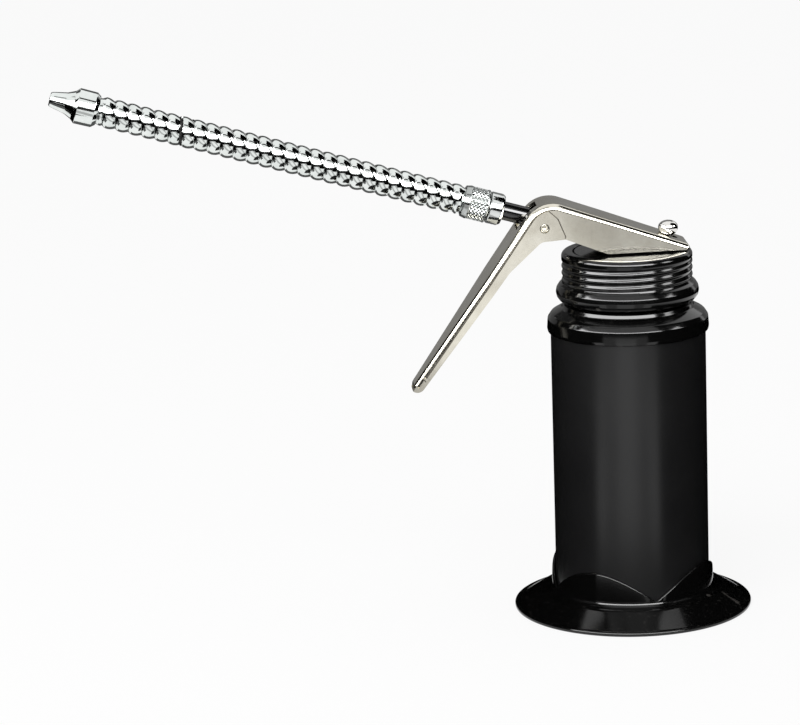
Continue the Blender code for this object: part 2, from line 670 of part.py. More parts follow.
def lever_shell(name, inset, free_edge, material):
    """Lever outline as a solid with tapering sides and rounded long edges."""
    corners = lever_corners(inset, free_edge)
    outline = rounded(corners, LEVER_SWEEP * 2)
    last_web = outline.index(corners[5][:2])
    mesh_bm = bmesh.new()
    near, far = (
        [
            mesh_bm.verts.new((x, side * (lever_half_width(x) - inset), z))
            for x, z in outline
        ]
        for side in (-1, 1)
    )
    for side in (near, far):
        mesh_bm.faces.new(side)
    for index in range(len(outline)):
        mesh_bm.faces.new((near[index - 1], near[index], far[index], far[index - 1]))
    for side in (near, far):
        for taper_x in lever_taper_places():
            ends = [vert for vert in side if abs(vert.co.x - taper_x) < SEAT_GAP / ROUND_STEPS]
            bmesh.ops.connect_verts(mesh_bm, verts=ends)
    weights = mesh_bm.edges.layers.float.new("bevel_weight_edge")
    rear_share = (LEVER_REAR_BEND - inset) / (LEVER_BEND - inset)
    for side in (near, far):
        for index in range(last_web + 1):
            edge = mesh_bm.edges.get((side[index - 1], side[index]))
            at_rear = min(vert.co.x for vert in edge.verts) > lever_taper_places()[1] - SEAT_GAP
            edge[weights] = rear_share if at_rear else 1.0
    mesh_bm.edges.get((near[0], far[0]))[weights] = 1.0
    mesh_bm.edges.get((near[last_web - 1], far[last_web - 1]))[weights] = rear_share
    shell = place(mesh_bm, name, material)
    bend = shell.modifiers.new("bend", "BEVEL")
    bend.limit_method = "WEIGHT"
    bend.offset_type = "OFFSET"
    bend.width = LEVER_BEND - inset
    bend.segments = LEVER_BEND_SEGMENTS
    bend.use_clamp_overlap = False
    shell.modifiers.new("flat_faces", "TRIANGULATE")
    return shell


def build_lever(nickel):
    """Lever: a channel with closed ends, cut for the outlet tube, pins and rod."""
    lever = lever_shell("lever", 0.0, 0.0, nickel)
    room = lever_shell("cut_lever_inside", LEVER_SHEET, OVERRUN, None)
    combine(lever, room, "DIFFERENCE")

    low = SPOUT_ABOVE_PIVOT - TUBE_RADIUS - TUBE_SLOT_LOW_GAP
    high = SPOUT_ABOVE_PIVOT + TUBE_RADIUS + TUBE_SLOT_SIDE_GAP
    near = TUBE_RADIUS
    far = LEVER_KNEE_RADIUS * 2
    fan = [
        swung(near, low, 0.0), swung(far, low, 0.0), swung(far, high, 0.0),
        swung(far, high, LEVER_SQUEEZE), swung(near, high, LEVER_SQUEEZE),
    ]
    tube_slot = slab("cut_tube_slot", fan, TUBE_RADIUS + TUBE_SLOT_SIDE_GAP)
    combine(lever, tube_slot, "DIFFERENCE")
    pin_hole = rod_between(
        "cut_pivot_holes", (PIVOT_X, -LEVER_HALF_WIDTH - OVERRUN, PIVOT_Z),
        (PIVOT_X, LEVER_HALF_WIDTH + OVERRUN, PIVOT_Z), PIVOT_PIN_RADIUS + RUNNING_GAP, SMALL_STEPS,
    )
    combine(lever, pin_hole, "DIFFERENCE")
    slot_shift = LEVER_ROD_SLOT_HALF_LENGTH - LEVER_ROD_SLOT_HALF_WIDTH
    half_turn = arc((slot_shift, 0.0), LEVER_ROD_SLOT_HALF_WIDTH, -90, 90, 6)
    half_turn += [(-x, -y) for x, y in half_turn]
    rod_slot = bmesh.new()
    face = rod_slot.faces.new([rod_slot.verts.new((x, y, -OVERRUN)) for x, y in half_turn])
    grown = bmesh.ops.extrude_face_region(rod_slot, geom=[face])
    raised = [item for item in grown["geom"] if isinstance(item, bmesh.types.BMVert)]
    bmesh.ops.translate(rod_slot, verts=raised, vec=(0, 0, OVERRUN * 2))
    slot = place(rod_slot, "cut_rod_slot", None)
    slot.location = (ROD_X, 0.0, WEB_AT_ROD)
    slot.rotation_euler = (0.0, math.radians(LEVER_TOP_SLOPE), 0.0)
    combine(lever, slot, "DIFFERENCE")
    move_origin(lever, (PIVOT_X, 0.0, PIVOT_Z))
    return lever


def swung(along, above, swing):
    """Point near the pivot, given along and above the spout direction swung up by degrees."""
    rise = math.radians(SPOUT_RISE + swing)
    x = PIVOT_X - along * math.cos(rise) + above * math.sin(rise)
    return x, PIVOT_Z + along * math.sin(rise) + above * math.cos(rise)


def move_origin(piece, point):
    """Move an object's origin to a point without moving its mesh in the world."""
    piece.data.transform(Matrix.Translation(-Vector(point)))
    piece.location = point


def build_rod(steel, nickel, brass, rubber):
    """Pump rod with its nut on top and the piston set at its foot."""
    rod_line = empty("rod_line", (ROD_X, 0.0, 0.0))
    thread_top = ROD_NUT_CENTRE - ROD_NUT_RADIUS / 2 + ROD_NUT_THREAD
    rod = [
        (0.0, PISTON_NUT_BOTTOM), (ROD_RADIUS, PISTON_NUT_BOTTOM),
        (ROD_RADIUS, thread_top), (0.0, thread_top),
    ]
    turned("pump_rod", rod, SMALL_STEPS, steel, rod_line)
    bore = ROD_RADIUS + RUNNING_GAP
    nut_floor = thread_top + SEAT_GAP / 2
    lower = arc((0.0, ROD_NUT_CENTRE), ROD_NUT_RADIUS, -50, 0, 5)
    dome = quarter_ellipse((0.0, ROD_NUT_CENTRE), (ROD_NUT_RADIUS, ROD_NUT_DOME), (68, 45, 24, 10, 0))
    nut = [(bore, lower[0][1])] + lower + dome
    nut += [(0.0, nut_floor), (bore, nut_floor)]
    turned("rod_nut", nut, SMALL_STEPS, nickel, rod_line)
    sliding = CYLINDER_BORE - RUNNING_GAP
    piston = ring_profile(bore, sliding, PISTON_BOTTOM, PISTON_TOP)
    turned("piston", piston, SMALL_STEPS, brass, rod_line)
    cup_top = PISTON_CUP_BOTTOM + PISTON_CUP_HEIGHT
    cup_web = PISTON_CUP_BOTTOM + PISTON_CUP_HEIGHT / 2
    cup = [
        (bore, cup_web), (PISTON_NUT_RADIUS, cup_web),
        (sliding - SEAT_GAP, PISTON_CUP_BOTTOM), (sliding, PISTON_CUP_BOTTOM),
        (sliding, cup_top - SEAT_GAP), (sliding - SEAT_GAP, cup_top), (bore, cup_top),
    ]
    turned("piston_cup", cup, SMALL_STEPS, rubber, rod_line)
    nut_top = PISTON_NUT_BOTTOM + PISTON_NUT_HEIGHT
    nut_ring = ring_profile(bore, PISTON_NUT_RADIUS, PISTON_NUT_BOTTOM, nut_top)

    def hexagon(radius, angle, height):
        if radius > bore + SEAT_GAP / 2:
            side = math.tau / HEX_SIDES
            radius *= math.cos(side / 2) / math.cos(angle % side - side / 2)
        return radius, height

    turned("piston_nut", nut_ring, SMALL_STEPS, brass, rod_line, reshape=hexagon)
    return rod_line


def build_pump(steel, brass, rubber, bright):
    """Fixed pump pieces: cylinder, bush, seals, spring, foot valve and dip tube."""
    pump_line = empty("pump_line", (ROD_X, 0.0, 0.0))
    cylinder = ring_profile(CYLINDER_BORE, CYLINDER_RADIUS, CYLINDER_BOTTOM, CYLINDER_TOP)
    turned("pump_cylinder", cylinder, SMALL_STEPS, brass, pump_line)
    rod_bore = ROD_RADIUS + RUNNING_GAP
    bush_radius = CYLINDER_BORE - RUNNING_GAP
    bush = ring_profile(rod_bore, bush_radius, BUSH_BOTTOM, CYLINDER_TOP)

    def flute(radius, angle, height):
        if radius > bush_radius - SEAT_GAP and math.cos(angle * BUSH_FLUTES) > BUSH_LAND_SHARE:
            radius -= BUSH_FLUTE_DEPTH
        return radius, height

    turned("rod_bush", bush, SMALL_STEPS, brass, pump_line, reshape=flute)
    seal = ring_profile(rod_bore, SEAL_RADIUS, seal_floor() + RUNNING_GAP, seal_floor() + SEAL_HEIGHT)
    turned("rod_seal", seal, SMALL_STEPS, rubber, pump_line)
    gland = ring_profile(rod_bore, SEAL_RADIUS, ROD_BOSS_TOP - GLAND_HEIGHT, ROD_BOSS_TOP)
    turned("gland_washer", gland, SMALL_STEPS, steel, pump_line)
    build_spring(steel, pump_line)

    flange_bottom = CYLINDER_BOTTOM - SEAT_GAP - FOOT_FLANGE_HEIGHT
    stub_bottom = flange_bottom - FOOT_STUB_LENGTH
    chamber_floor = FOOT_TOP - BALL_CHAMBER_DEPTH
    seat_depth = BALL_CHAMBER_RADIUS - FOOT_BORE
    foot = [
        (FOOT_BORE, stub_bottom), (FOOT_STUB_RADIUS, stub_bottom), (FOOT_STUB_RADIUS, flange_bottom),
        (CYLINDER_RADIUS, flange_bottom), (CYLINDER_RADIUS, flange_bottom + FOOT_FLANGE_HEIGHT),
        (bush_radius, flange_bottom + FOOT_FLANGE_HEIGHT), (bush_radius, FOOT_TOP),
        (BALL_LIP_RADIUS, FOOT_TOP), (BALL_LIP_RADIUS, FOOT_TOP - BALL_LIP_HEIGHT),
        (BALL_CHAMBER_RADIUS, FOOT_TOP - BALL_LIP_HEIGHT), (BALL_CHAMBER_RADIUS, chamber_floor),
        (FOOT_BORE, chamber_floor - seat_depth),
    ]
    turned("foot_valve_body", foot, SMALL_STEPS, brass, pump_line)
    rest = math.sqrt(2) * (BALL_RADIUS + RUNNING_GAP) - FOOT_BORE
    ball_z = chamber_floor - seat_depth + rest
    ball = arc((0.0, ball_z), BALL_RADIUS, -90, 90, 8)
    turned("foot_valve_ball", ball, SMALL_STEPS // 2, bright, pump_line)
    bore = DIP_TUBE_RADIUS - DIP_TUBE_WALL
    tube_top = flange_bottom - SEAT_GAP
    tube_bottom = BODY_BOTTOM + BOTTOM_END_SHEET + DIP_TUBE_FLOOR_GAP
    dip = ring_profile(bore, DIP_TUBE_RADIUS, tube_bottom, tube_top)
    turned("dip_tube", dip, SMALL_STEPS, steel, pump_line)


def build_spring(steel, pump_line):
    """Return spring round the rod, one unbroken tube between piston and bush."""
    bottom = PISTON_TOP + SPRING_WIRE + SEAT_GAP
    top = BUSH_BOTTOM - SPRING_WIRE - SEAT_GAP
    count = SPRING_TURNS * SPRING_TURN_POINTS
    curve = bpy.data.curves.new("return_spring", "CURVE")
    curve.dimensions = "3D"
    curve.bevel_depth = SPRING_WIRE
    curve.bevel_resolution = 1
    curve.use_fill_caps = True
    line = curve.splines.new("POLY")
    line.points.add(count)
    places = []
    for index in range(count + 1):
        angle = math.tau * index / SPRING_TURN_POINTS
        height = bottom + (top - bottom) * index / count
        places.append(Vector((SPRING_RADIUS * math.cos(angle), SPRING_RADIUS * math.sin(angle), height)))
        line.points[index].co = (*places[-1], 1.0)
    curve.materials.append(steel)
    spring = bpy.data.objects.new("return_spring", curve)
    bpy.context.collection.objects.link(spring)
    spring.parent = pump_line
    gap = min(
        (places[late] - places[early]).length
        for early in range(count + 1)
        for late in range(early + SPRING_TURN_POINTS // 2 + 1, count + 1)
    ) - SPRING_WIRE * 2
    print("return_spring least gap to itself, mm:", round(gap * 1000, 2))


def build_spout(black, zinc, bright):
    """Outlet tube, collar, ferrule, ribbed hose and nozzle along the spout axis."""
    spout = empty("spout_axis", spout_point(0.0), SPOUT_RISE - 90.0)
    tube_end = HOSE_START - SEAT_GAP - RUNNING_GAP
    bore_start = TUBE_SHOULDER + TUBE_BORE
    tube = [
        (PASSAGE_RADIUS, TUBE_START), (TUBE_SHANK_RADIUS, TUBE_START), (TUBE_SHANK_RADIUS, TUBE_SHOULDER),
        (TUBE_RADIUS, TUBE_SHOULDER), (TUBE_RADIUS, tube_end), (TUBE_BORE, tube_end),
        (TUBE_BORE, bore_start), (PASSAGE_RADIUS, bore_start - PASSAGE_RADIUS),
    ]
    turned("outlet_tube", tube, SMALL_STEPS, black, spout)
    hole = TUBE_RADIUS + RUNNING_GAP
    collar_end = COLLAR_START + COLLAR_LENGTH
    collar = [
        (hole, COLLAR_START, 0.0), (COLLAR_RADIUS, COLLAR_START, FERRULE_CHAMFER * 1.5),
        (COLLAR_RADIUS, collar_end, FERRULE_CHAMFER), (hole, collar_end, 0.0),
    ]
    turned("spout_collar", rounded(collar, 45.0), SPOUT_STEPS, zinc, spout)
    build_ferrule(zinc, spout, hole)
    build_hose(bright, spout)
    build_nozzle(bright, spout)


def build_ferrule(zinc, spout, hole):
    """Knurled ferrule that grips the hose's end."""
    stop = FERRULE_START + FERRULE_STOP
    end = FERRULE_START + FERRULE_LENGTH
    socket = HOSE_SOCKET_RADIUS - FERRULE_CHAMFER
    profile = [
        (hole, FERRULE_START), (FERRULE_RADIUS - FERRULE_CHAMFER / 2, FERRULE_START),
        (FERRULE_RADIUS, FERRULE_START + FERRULE_CHAMFER / 2),
        (FERRULE_RADIUS, end - FERRULE_CHAMFER * 2),
        (FERRULE_RADIUS - FERRULE_CHAMFER / 2, end), (socket, end), (socket, stop), (hole, stop),
    ]

    def knurl(radius, angle, height):
        if radius > FERRULE_RADIUS - KNURL_DEPTH:
            radius -= KNURL_DEPTH * (0.5 + 0.5 * math.cos(KNURL_TEETH * angle))
        return radius, height

    turned("hose_ferrule", profile, KNURL_TEETH * 2, zinc, spout, reshape=knurl)


def build_hose(bright, spout):
    """Ribbed hose with its bore: ribs are points of unlike radius along the tube."""
    end_radius = HOSE_SOCKET_RADIUS - FERRULE_CHAMFER - SEAT_GAP
    ribs_start = FERRULE_START + FERRULE_LENGTH + SEAT_GAP
    ribs_end = NOZZLE_START - SEAT_GAP
    ribs = round((ribs_end - ribs_start) / HOSE_RIB_PITCH)
    step = (ribs_end - ribs_start) / ribs
    groove_radius = HOSE_RADIUS - HOSE_GROOVE_DEPTH
    stations = [(HOSE_START, end_radius), (ribs_start, end_radius)]
    for rib in range(ribs):
        stations.append((ribs_start + step * (rib + 0.5), HOSE_RADIUS))
        if rib < ribs - 1:
            stations.append((ribs_start + step * (rib + 1), groove_radius))
    stations += [(ribs_end, end_radius), (HOSE_END, end_radius)]
    hose = tube_curve("hose", stations, bright, spout)
    overrun = HOSE_RADIUS
    bore = tube_curve(
        "cut_hose_bore", [(HOSE_START - overrun, HOSE_BORE), (HOSE_END + overrun, HOSE_BORE)], None, spout
    )
    combine(hose, bore, "DIFFERENCE")


def tube_curve(name, stations, material, parent):
    """Round tube along the parent's Z with a radius at each station."""
    curve = bpy.data.curves.new(name, "CURVE")
    curve.dimensions = "3D"
    curve.bevel_depth = 1.0
    curve.bevel_resolution = 2
    curve.use_fill_caps = True
    line = curve.splines.new("POLY")
    line.points.add(len(stations) - 1)
    for point, (along, radius) in zip(line.points, stations):
        point.co = (0.0, 0.0, along, 1.0)
        point.radius = radius
    route = bpy.data.objects.new(name + "_route", curve)
    mesh_bm = bmesh.new()
    mesh_bm.from_mesh(bpy.data.meshes.new_from_object(route))
    bpy.data.objects.remove(route, do_unlink=True)
    bmesh.ops.remove_doubles(mesh_bm, verts=mesh_bm.verts, dist=SEAT_GAP / ROUND_STEPS)
    return place(mesh_bm, name, material, parent)


def build_nozzle(bright, spout):
    """Turned nozzle: a body round the hose's end, a flare and a slim cone."""
    socket = HOSE_SOCKET_RADIUS - FERRULE_CHAMFER
    end = NOZZLE_START + NOZZLE_LENGTH
    body_start = NOZZLE_START + FERRULE_CHAMFER * 2
    body_end = body_start + NOZZLE_BODY_LENGTH - FERRULE_CHAMFER * 2
    waist = body_end + NOZZLE_FLARE_LENGTH
    lip = NOZZLE_TIP_RADIUS - NOZZLE_BORE
    profile = [
        (socket, NOZZLE_START), (HOSE_RADIUS, NOZZLE_START), (NOZZLE_RADIUS, body_start),
        (NOZZLE_RADIUS, body_end), (NOZZLE_RADIUS - FERRULE_CHAMFER / 2, body_end + FERRULE_CHAMFER),
        (NOZZLE_WAIST_RADIUS, waist), (NOZZLE_TIP_RADIUS + lip / 4, end - lip / 2),
        (NOZZLE_TIP_RADIUS, end - lip / 5), (NOZZLE_TIP_RADIUS - lip / 4, end),
        (NOZZLE_BORE, end), (NOZZLE_BORE, waist),
        (HOSE_BORE, HOSE_END + SEAT_GAP), (socket, HOSE_END + SEAT_GAP),
    ]
    turned("nozzle", profile, SPOUT_STEPS, bright, spout)


def main():
    """Build the whole oil can."""
    clear_scene()
    gloss_black = make_material("gloss_black", (0.012, 0.012, 0.013), 0.18, 0.0)
    cast_black = make_material("cast_black", (0.02, 0.02, 0.021), 0.4, 0.0)
    nickel = make_material("nickel", (0.78, 0.75, 0.66), 0.18, 1.0)
    zinc = make_material("zinc", (0.72, 0.74, 0.74), 0.3, 1.0)
    bright = make_material("bright_steel", (0.82, 0.84, 0.84), 0.12, 1.0)
    steel = make_material("steel", (0.55, 0.55, 0.56), 0.35, 1.0)
    brass = make_material("brass", (0.75, 0.58, 0.28), 0.3, 1.0)
    rubber = make_material("rubber", (0.03, 0.03, 0.03), 0.7, 0.0)
    build_base(gloss_black)
    build_body(gloss_black)
    gasket = build_top(gloss_black)
    turned("cap_gasket", gasket, ROUND_STEPS, rubber)
    build_cap(gloss_black)
    build_head(cast_black, nickel)
    build_lever(nickel)
    build_rod(steel, nickel, brass, rubber)
    build_pump(steel, brass, rubber, bright)
    build_spout(cast_black, zinc, bright)


main()
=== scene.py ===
"""Fine surfaces, finishes, studio and camera for the pump oil can.

Sizes are in metres and angles in degrees. X runs from the spout to the rod, Z up the can's axis.
"""
from __future__ import annotations

import json
import logging
import math
from collections.abc import Callable, Iterable, Sequence
from dataclasses import dataclass
from enum import Enum

import bmesh
import bpy
import numpy as np
from mathutils import Matrix, Vector

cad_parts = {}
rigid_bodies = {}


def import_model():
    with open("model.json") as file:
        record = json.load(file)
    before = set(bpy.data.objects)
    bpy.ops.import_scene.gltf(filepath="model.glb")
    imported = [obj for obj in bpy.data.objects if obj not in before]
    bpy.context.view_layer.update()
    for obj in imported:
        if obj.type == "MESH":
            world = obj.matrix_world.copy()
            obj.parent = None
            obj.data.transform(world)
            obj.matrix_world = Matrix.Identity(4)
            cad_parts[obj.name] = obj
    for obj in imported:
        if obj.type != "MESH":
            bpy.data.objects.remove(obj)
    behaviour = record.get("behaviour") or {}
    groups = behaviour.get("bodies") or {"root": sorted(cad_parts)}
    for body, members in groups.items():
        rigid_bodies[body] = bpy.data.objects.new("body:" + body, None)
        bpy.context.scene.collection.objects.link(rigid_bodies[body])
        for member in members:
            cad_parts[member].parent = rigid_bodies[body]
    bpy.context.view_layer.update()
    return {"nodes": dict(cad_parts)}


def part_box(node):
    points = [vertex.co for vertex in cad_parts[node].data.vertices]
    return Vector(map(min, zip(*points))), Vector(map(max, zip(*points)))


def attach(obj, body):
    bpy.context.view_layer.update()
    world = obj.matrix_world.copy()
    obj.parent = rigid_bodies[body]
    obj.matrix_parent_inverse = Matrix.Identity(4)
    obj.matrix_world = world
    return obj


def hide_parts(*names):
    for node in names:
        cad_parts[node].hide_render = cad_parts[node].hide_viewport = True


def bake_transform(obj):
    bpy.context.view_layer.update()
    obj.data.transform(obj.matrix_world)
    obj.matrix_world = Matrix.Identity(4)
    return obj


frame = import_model()

LOG = logging.getLogger("pump_oil_can")

Colour = tuple[float, float, float]
Place = tuple[float, float, float]
Outline = list[tuple[float, float]]
Grid = np.ndarray
Moved = tuple[Grid, Grid]
Shape = Callable[[Grid, Grid, Grid], Moved]
Value = float | Sequence[float] | bpy.types.NodeSocket
Pieces = list[bpy.types.Object]

FULL_TURN = math.tau
MILLIMETRE = 0.001
SHARP_ANGLE = math.radians(38.0)  # edges with a larger angle keep their crease
WELD = 0.000004  # points closer than this become one
GAP = 0.0003  # room between pieces that touch on the real can
WHITE = (1.0, 1.0, 1.0, 1.0)
SIDES = (("near", -1.0), ("far", 1.0))  # towards the camera, and away from it

PIVOT_X = -0.0290  # the lever's pins, where the spout's axis starts too
ROD_X = 0.0144  # the pump rod's axis
SPOUT_RISE = 16.5  # the spout's slope


class Body(Enum):
    """Bodies of the frame that pieces ride on."""

    CAN = "can"
    HEAD = "head"
    CAP = "cap"
    LEVER = "lever"
    ROD = "rod"


class Slot(Enum):
    """Material slots of the record."""

    GLOSS_BLACK = "gloss_black"
    CAST_BLACK = "cast_black"
    NICKEL = "nickel"
    ZINC = "zinc"
    BRIGHT_STEEL = "bright_steel"
    STEEL = "steel"
    BRASS = "brass"
    RUBBER = "rubber"


@dataclass(frozen=True)
class Corner:
    """A corner of an outline, with the radius that rounds it."""

    across: float
    along: float
    bend: float = 0.0


def rounded(corners: Sequence[Corner], step: float = 12.0) -> Outline:
    """Round the corners of a closed outline.

    Args:
        corners: The corners in order; a bend of zero stays sharp.
        step: Degrees of turn between two points on a bend.

    Returns:
        The outline's points.
    """
    outline: Outline = []
    for index, corner in enumerate(corners):
        here = Vector((corner.across, corner.along))
        if corner.bend <= 0.0:
            outline.append((corner.across, corner.along))
            continue
        last, following = corners[index - 1], corners[(index + 1) % len(corners)]
        before = (Vector((last.across, last.along)) - here).normalized()
        after = (Vector((following.across, following.along)) - here).normalized()
        opening = before.angle(after)
        start = here + before * (corner.bend / math.tan(opening / 2))
        centre = here + (before + after).normalized() * (corner.bend / math.sin(opening / 2))
        turn = math.pi - opening
        sense = 1.0 if before.x * after.y - before.y * after.x < 0 else -1.0
        count = max(1, round(math.degrees(turn) / step))
        for part in range(count + 1):
            point = centre + Matrix.Rotation(sense * turn * part / count, 2) @ (start - centre)
            outline.append((point.x, point.y))
    return outline


def arc(centre: tuple[float, float], radius: float, start: float, stop: float, count: int) -> Outline:
    """Lay points on an arc.

    Args:
        centre: The arc's centre.
        radius: Its radius.
        start: Its first angle in degrees.
        stop: Its last angle in degrees.
        count: How many steps lie between its ends.

    Returns:
        The points, both ends included.
    """
    angles = [math.radians(start + (stop - start) * part / count) for part in range(count + 1)]
    return [
        (centre[0] + radius * math.cos(angle), centre[1] + radius * math.sin(angle)) for angle in angles
    ]


def filled(points: Outline, longest: float) -> Outline:
    """Split the long sides of an open outline, so that a wave can run along them.

    Args:
        points: The outline's points.
        longest: The longest side to keep.

    Returns:
        The outline with points added on its long sides.
    """
    result: Outline = []
    for (r0, z0), (r1, z1) in zip(points, points[1:]):
        count = max(1, math.ceil(math.hypot(r1 - r0, z1 - z0) / longest))
        result += [(r0 + (r1 - r0) * part / count, z0 + (z1 - z0) * part / count) for part in range(count)]
    result.append(points[-1])
    return result


def finish_mesh(piece_bm: bmesh.types.BMesh, name: str) -> bpy.types.Object:
    """Turn a bmesh into a smooth-shaded object in the scene.

    Args:
        piece_bm: The mesh, which is freed.
        name: The object's name.

    Returns:
        The new object.
    """
    bmesh.ops.recalc_face_normals(piece_bm, faces=piece_bm.faces)
    mesh = bpy.data.meshes.new(name)
    piece_bm.to_mesh(mesh)
    piece_bm.free()
    mesh.shade_smooth()
    mesh.set_sharp_from_angle(angle=SHARP_ANGLE)
    piece = bpy.data.objects.new(name, mesh)
    bpy.context.scene.collection.objects.link(piece)
    return piece


def lathe(
    name: str,
    outline: Sequence[tuple[float, float]],
    steps: int,
    shape: Shape | None = None,
    stand: Matrix | None = None,
) -> bpy.types.Object:
    """Turn a closed outline of radius and height about an axis.

    Args:
        name: The object's name.
        outline: Radius and height of each point, in order.
        steps: How many points lie round the axis.
        shape: Moves every point, given its radius, angle and height.
        stand: Places the finished mesh; the axis is Z without it.

    Returns:
        The turned object.
    """
    points = np.array(outline, float)
    turn = np.arange(steps) * FULL_TURN / steps
    radius = np.repeat(points[:, :1], steps, axis=1)
    height = np.repeat(points[:, 1:], steps, axis=1)
    angle = np.broadcast_to(turn, radius.shape)
    if shape is not None:
        radius, height = shape(radius, angle, height)
    places = np.stack([radius * np.cos(angle), radius * np.sin(angle), height], axis=-1)
    piece_bm = bmesh.new()
    verts = [[piece_bm.verts.new(place) for place in row] for row in places]
    for row, below in zip(verts, [verts[-1], *verts[:-1]]):
        # an outline that starts and ends on the axis closes there
        if row is verts[0] and points[0][0] == 0.0 and points[-1][0] == 0.0:
            continue
        for k in range(steps):
            after = (k + 1) % steps
            piece_bm.faces.new((below[k], below[after], row[after], row[k]))
    on_axis = [v for row, point in zip(verts, points) if point[0] == 0.0 for v in row]
    bmesh.ops.remove_doubles(piece_bm, verts=on_axis, dist=WELD)
    if stand is not None:
        piece_bm.transform(stand)
    return finish_mesh(piece_bm, name)


def extruded(name: str, outline: Outline, half_width: float) -> bpy.types.Object:
    """Extrude an outline in the XZ plane to both sides along Y.

    Args:
        name: The object's name.
        outline: The points in XZ.
        half_width: How far it reaches to each side.

    Returns:
        The extruded object.
    """
    piece_bm = bmesh.new()
    face = piece_bm.faces.new([piece_bm.verts.new((x, -half_width, z)) for x, z in outline])
    grown = bmesh.ops.extrude_face_region(piece_bm, geom=[face])
    moved = [item for item in grown["geom"] if isinstance(item, bmesh.types.BMVert)]
    bmesh.ops.translate(piece_bm, verts=moved, vec=(0.0, half_width * 2, 0.0))
    return finish_mesh(piece_bm, name)


def coil(
    name: str,
    radius: float,
    wire: float,
    ends: tuple[float, float],
    turns: int,
    turn_points: int,
    wire_points: int,
    stand: Matrix,
) -> bpy.types.Object:
    """Wind a wire along the Z axis.

    Args:
        name: The object's name.
        radius: The coil's radius to the wire's middle.
        wire: The wire's radius.
        ends: The heights where the coil starts and stops.
        turns: How often it goes round.
        turn_points: How many sections one turn has.
        wire_points: How many points lie round the wire.
        stand: Places the finished mesh.

    Returns:
        The coil.
    """
    start, stop = ends
    count = turns * turn_points
    slope = (stop - start) / (turns * FULL_TURN * radius)
    piece_bm = bmesh.new()
    rings = []
    for index in range(count + 1):
        angle = FULL_TURN * index / turn_points
        out = Vector((math.cos(angle), math.sin(angle), 0.0))
        side = Vector((-math.sin(angle), math.cos(angle), slope)).normalized().cross(out)
        centre = out * radius + Vector((0.0, 0.0, start + (stop - start) * index / count))
        rings.append([
            piece_bm.verts.new(centre + (out * math.cos(turn) + side * math.sin(turn)) * wire)
            for turn in (FULL_TURN * k / wire_points for k in range(wire_points))
        ])
    for ring, following in zip(rings, rings[1:]):
        for k in range(wire_points):
            after = (k + 1) % wire_points
            piece_bm.faces.new((ring[k], ring[after], following[after], following[k]))
    piece_bm.faces.new(rings[0])
    piece_bm.faces.new(rings[-1])
    piece_bm.transform(stand)
    return finish_mesh(piece_bm, name)


def cut(target: bpy.types.Object, tool: bpy.types.Object) -> None:
    """Cut a tool's shape out of a target and delete the tool.

    Args:
        target: The object that is cut.
        tool: The object whose shape is taken out.
    """
    knife = target.modifiers.new("cut", "BOOLEAN")
    knife.operation = "DIFFERENCE"
    knife.solver = "EXACT"
    knife.object = tool
    weld = target.modifiers.new("weld", "WELD")
    weld.merge_threshold = WELD
    settle(target)
    bpy.data.objects.remove(tool, do_unlink=True)


def settle(piece: bpy.types.Object) -> None:
    """Turn a piece's modifiers into its mesh.

    Args:
        piece: The object whose modifiers are applied.
    """
    graph = bpy.context.evaluated_depsgraph_get()
    old = piece.data
    piece.data = bpy.data.meshes.new_from_object(piece.evaluated_get(graph))
    piece.modifiers.clear()
    bpy.data.meshes.remove(old)


def even_normals(piece: bpy.types.Object) -> None:
    """Keep flat faces flat beside rounded edges.

    Args:
        piece: The object that gets weighted normals.
    """
    piece.data.shade_smooth()
    piece.data.set_sharp_from_angle(angle=SHARP_ANGLE)
    weigh = piece.modifiers.new("even_normals", "WEIGHTED_NORMAL")
    weigh.keep_sharp = True
    settle(piece)


def dress(
    piece: bpy.types.Object,
    body: Body,
    material: bpy.types.Material,
    stands_for: Iterable[str] = (),
) -> bpy.types.Object:
    """Give a piece its finish and join it to the frame.

    Args:
        piece: The object.
        body: The body it rides on.
        material: Its material.
        stands_for: The frame's nodes that it replaces.

    Returns:
        The same object.
    """
    piece.data.materials.clear()
    piece.data.materials.append(material)
    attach(piece, body.value)
    nodes = list(stands_for)
    if nodes:
        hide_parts(*nodes)
    return piece


def repaint(node: str, material: bpy.types.Material) -> bpy.types.Object:
    """Give one of the frame's own nodes its finish.

    Args:
        node: The node's name.
        material: Its material.

    Returns:
        The node's object.
    """
    piece = frame["nodes"][node]
    piece.data.materials.clear()
    piece.data.materials.append(material)
    return piece


